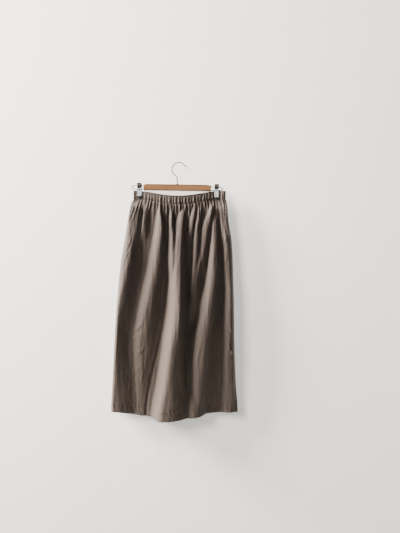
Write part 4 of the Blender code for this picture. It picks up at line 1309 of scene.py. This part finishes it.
def set_camera():
    """The photograph's camera, upright and leaning a little."""
    camera = bpy.data.cameras.new("camera")
    camera.lens = CAMERA_LENS
    camera.sensor_width = 36.0
    obj = bpy.data.objects.new("camera", camera)
    obj.location = CAMERA_PLACE
    upright = Matrix.Rotation(math.radians(90.0), 3, "X")
    lean = Matrix.Rotation(math.radians(CAMERA_LEAN), 3, "Z")
    obj.rotation_euler = (upright @ lean).to_euler()
    bpy.context.scene.collection.objects.link(obj)
    bpy.context.scene.camera = obj


# Settings, operators and panel

class ClothSettings(bpy.types.PropertyGroup):
    """Cloth of the skirt."""

    colour: bpy.props.FloatVectorProperty(
        name="Cloth colour", description="Colour of the washed cotton",
        subtype="COLOR", size=3, min=0.0, max=1.0, default=hex_colour("4c423c"),
    )
    nap: bpy.props.FloatProperty(
        name="Nap", description="How much the fibres on the surface catch the light",
        subtype="FACTOR", min=0.0, max=1.0, default=0.12,
    )
    column_step: bpy.props.FloatProperty(
        name="Column step", description="Spacing of the cloth's points across, in millimetres",
        min=1.0, max=12.0, default=2.0,
    )
    row_step: bpy.props.FloatProperty(
        name="Row step", description="Spacing of the cloth's points down, in millimetres",
        min=2.0, max=20.0, default=4.0,
    )


def lamp_power(name, words, watts):
    """A setting for the power of a lamp."""
    return bpy.props.FloatProperty(name=name, description=words, unit="POWER", min=0.0, default=watts)


class StageSettings(bpy.types.PropertyGroup):
    """Wall, floor and lamps around the skirt."""

    wall_colour: bpy.props.FloatVectorProperty(
        name="Wall colour", description="Colour of the painted plaster",
        subtype="COLOR", size=3, min=0.0, max=1.0, default=hex_colour("f2f0ea"),
    )
    wall_distance: bpy.props.FloatProperty(
        name="Wall distance", description="From the middle of the skirt back to the wall",
        subtype="DISTANCE", unit="LENGTH", min=0.03, max=2.0, default=0.036,
    )
    wall_glow: bpy.props.FloatProperty(
        name="Wall glow", description="How much the wall and floor shine by themselves, to lighten shadows",
        min=0.0, default=0.75,
    )
    key_power: lamp_power("Window light", "Power of the soft lamp at the viewer's left", 2900.0)
    back_power: lamp_power("Back light", "Power of the soft lamp behind the skirt", 40.0)
    card_power: lamp_power("Card light", "Power of the small lamp that the clips' plates reflect", 5.0)
    wash_power: lamp_power("Wall light", "Power of the lamp that throws the skirt's shadow", 125.0)
    room_light: bpy.props.FloatProperty(
        name="All-round light", description="Strength of the light from everywhere",
        min=0.0, default=0.0,
    )


class SKIRT_OT_waistband(bpy.types.Operator):
    """Sew the gathered waistband"""

    bl_idname = "skirt.waistband"
    bl_label = "Sew waistband"

    def execute(self, context):
        sew_band()
        return {"FINISHED"}


class SKIRT_OT_front(bpy.types.Operator):
    """Sew the two lapped front panels"""

    bl_idname = "skirt.front"
    bl_label = "Sew front panels"

    def execute(self, context):
        sew_front(context.scene.skirt_cloth)
        return {"FINISHED"}


class SKIRT_OT_back(bpy.types.Operator):
    """Sew the back panel"""

    bl_idname = "skirt.back"
    bl_label = "Sew back panel"

    def execute(self, context):
        sew_back(context.scene.skirt_cloth)
        return {"FINISHED"}


class SKIRT_OT_pockets(bpy.types.Operator):
    """Sew the pocket bags and the pocket openings"""

    bl_idname = "skirt.pockets"
    bl_label = "Sew pockets"

    def execute(self, context):
        for label in POCKETS:
            sew_pocket_bag(label)
            sew_pocket_mouth(label)
        return {"FINISHED"}


class SKIRT_OT_hanger(bpy.types.Operator):
    """Make the wooden bar, the hook and the wire loops"""

    bl_idname = "skirt.hanger"
    bl_label = "Make hanger"

    def execute(self, context):
        shape_bar()
        bend_wires()
        return {"FINISHED"}


class SKIRT_OT_clips(bpy.types.Operator):
    """Make the two clips with their plates, tips and springs"""

    bl_idname = "skirt.clips"
    bl_label = "Make clips"

    def execute(self, context):
        for label in CLIPS:
            for side in ("front", "back"):
                jaw_plate(label, side)
                rubber_tip(label, side)
            coil_spring(label)
        return {"FINISHED"}


class SKIRT_OT_stage(bpy.types.Operator):
    """Set up the wall, floor, lamps and camera"""

    bl_idname = "skirt.stage"
    bl_label = "Set stage"

    def execute(self, context):
        set_stage(context.scene.skirt_stage)
        set_camera()
        return {"FINISHED"}


class SKIRT_PT_panel(bpy.types.Panel):
    bl_idname = "SKIRT_PT_panel"
    bl_label = "Skirt on a clip hanger"
    bl_space_type = "VIEW_3D"
    bl_region_type = "UI"
    bl_category = "Skirt"

    def draw(self, context):
        layout = self.layout
        for group in (context.scene.skirt_cloth, context.scene.skirt_stage):
            column = layout.column(align=True)
            for name in group.__annotations__:
                column.prop(group, name)
        for operator in OPERATORS:
            layout.operator(operator.bl_idname)


OPERATORS = (
    SKIRT_OT_waistband, SKIRT_OT_front, SKIRT_OT_back, SKIRT_OT_pockets,
    SKIRT_OT_hanger, SKIRT_OT_clips, SKIRT_OT_stage,
)
CLASSES = (ClothSettings, StageSettings, *OPERATORS, SKIRT_PT_panel)


def register():
    for cls in CLASSES:
        bpy.utils.register_class(cls)
    bpy.types.Scene.skirt_cloth = bpy.props.PointerProperty(type=ClothSettings)
    bpy.types.Scene.skirt_stage = bpy.props.PointerProperty(type=StageSettings)


def unregister():
    del bpy.types.Scene.skirt_stage
    del bpy.types.Scene.skirt_cloth
    for cls in reversed(CLASSES):
        bpy.utils.unregister_class(cls)


def main():
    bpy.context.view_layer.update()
    register()
    for operator in OPERATORS:
        group, name = operator.bl_idname.split(".")
        getattr(getattr(bpy.ops, group), name)()
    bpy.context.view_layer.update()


if __name__ == "__main__":
    main()
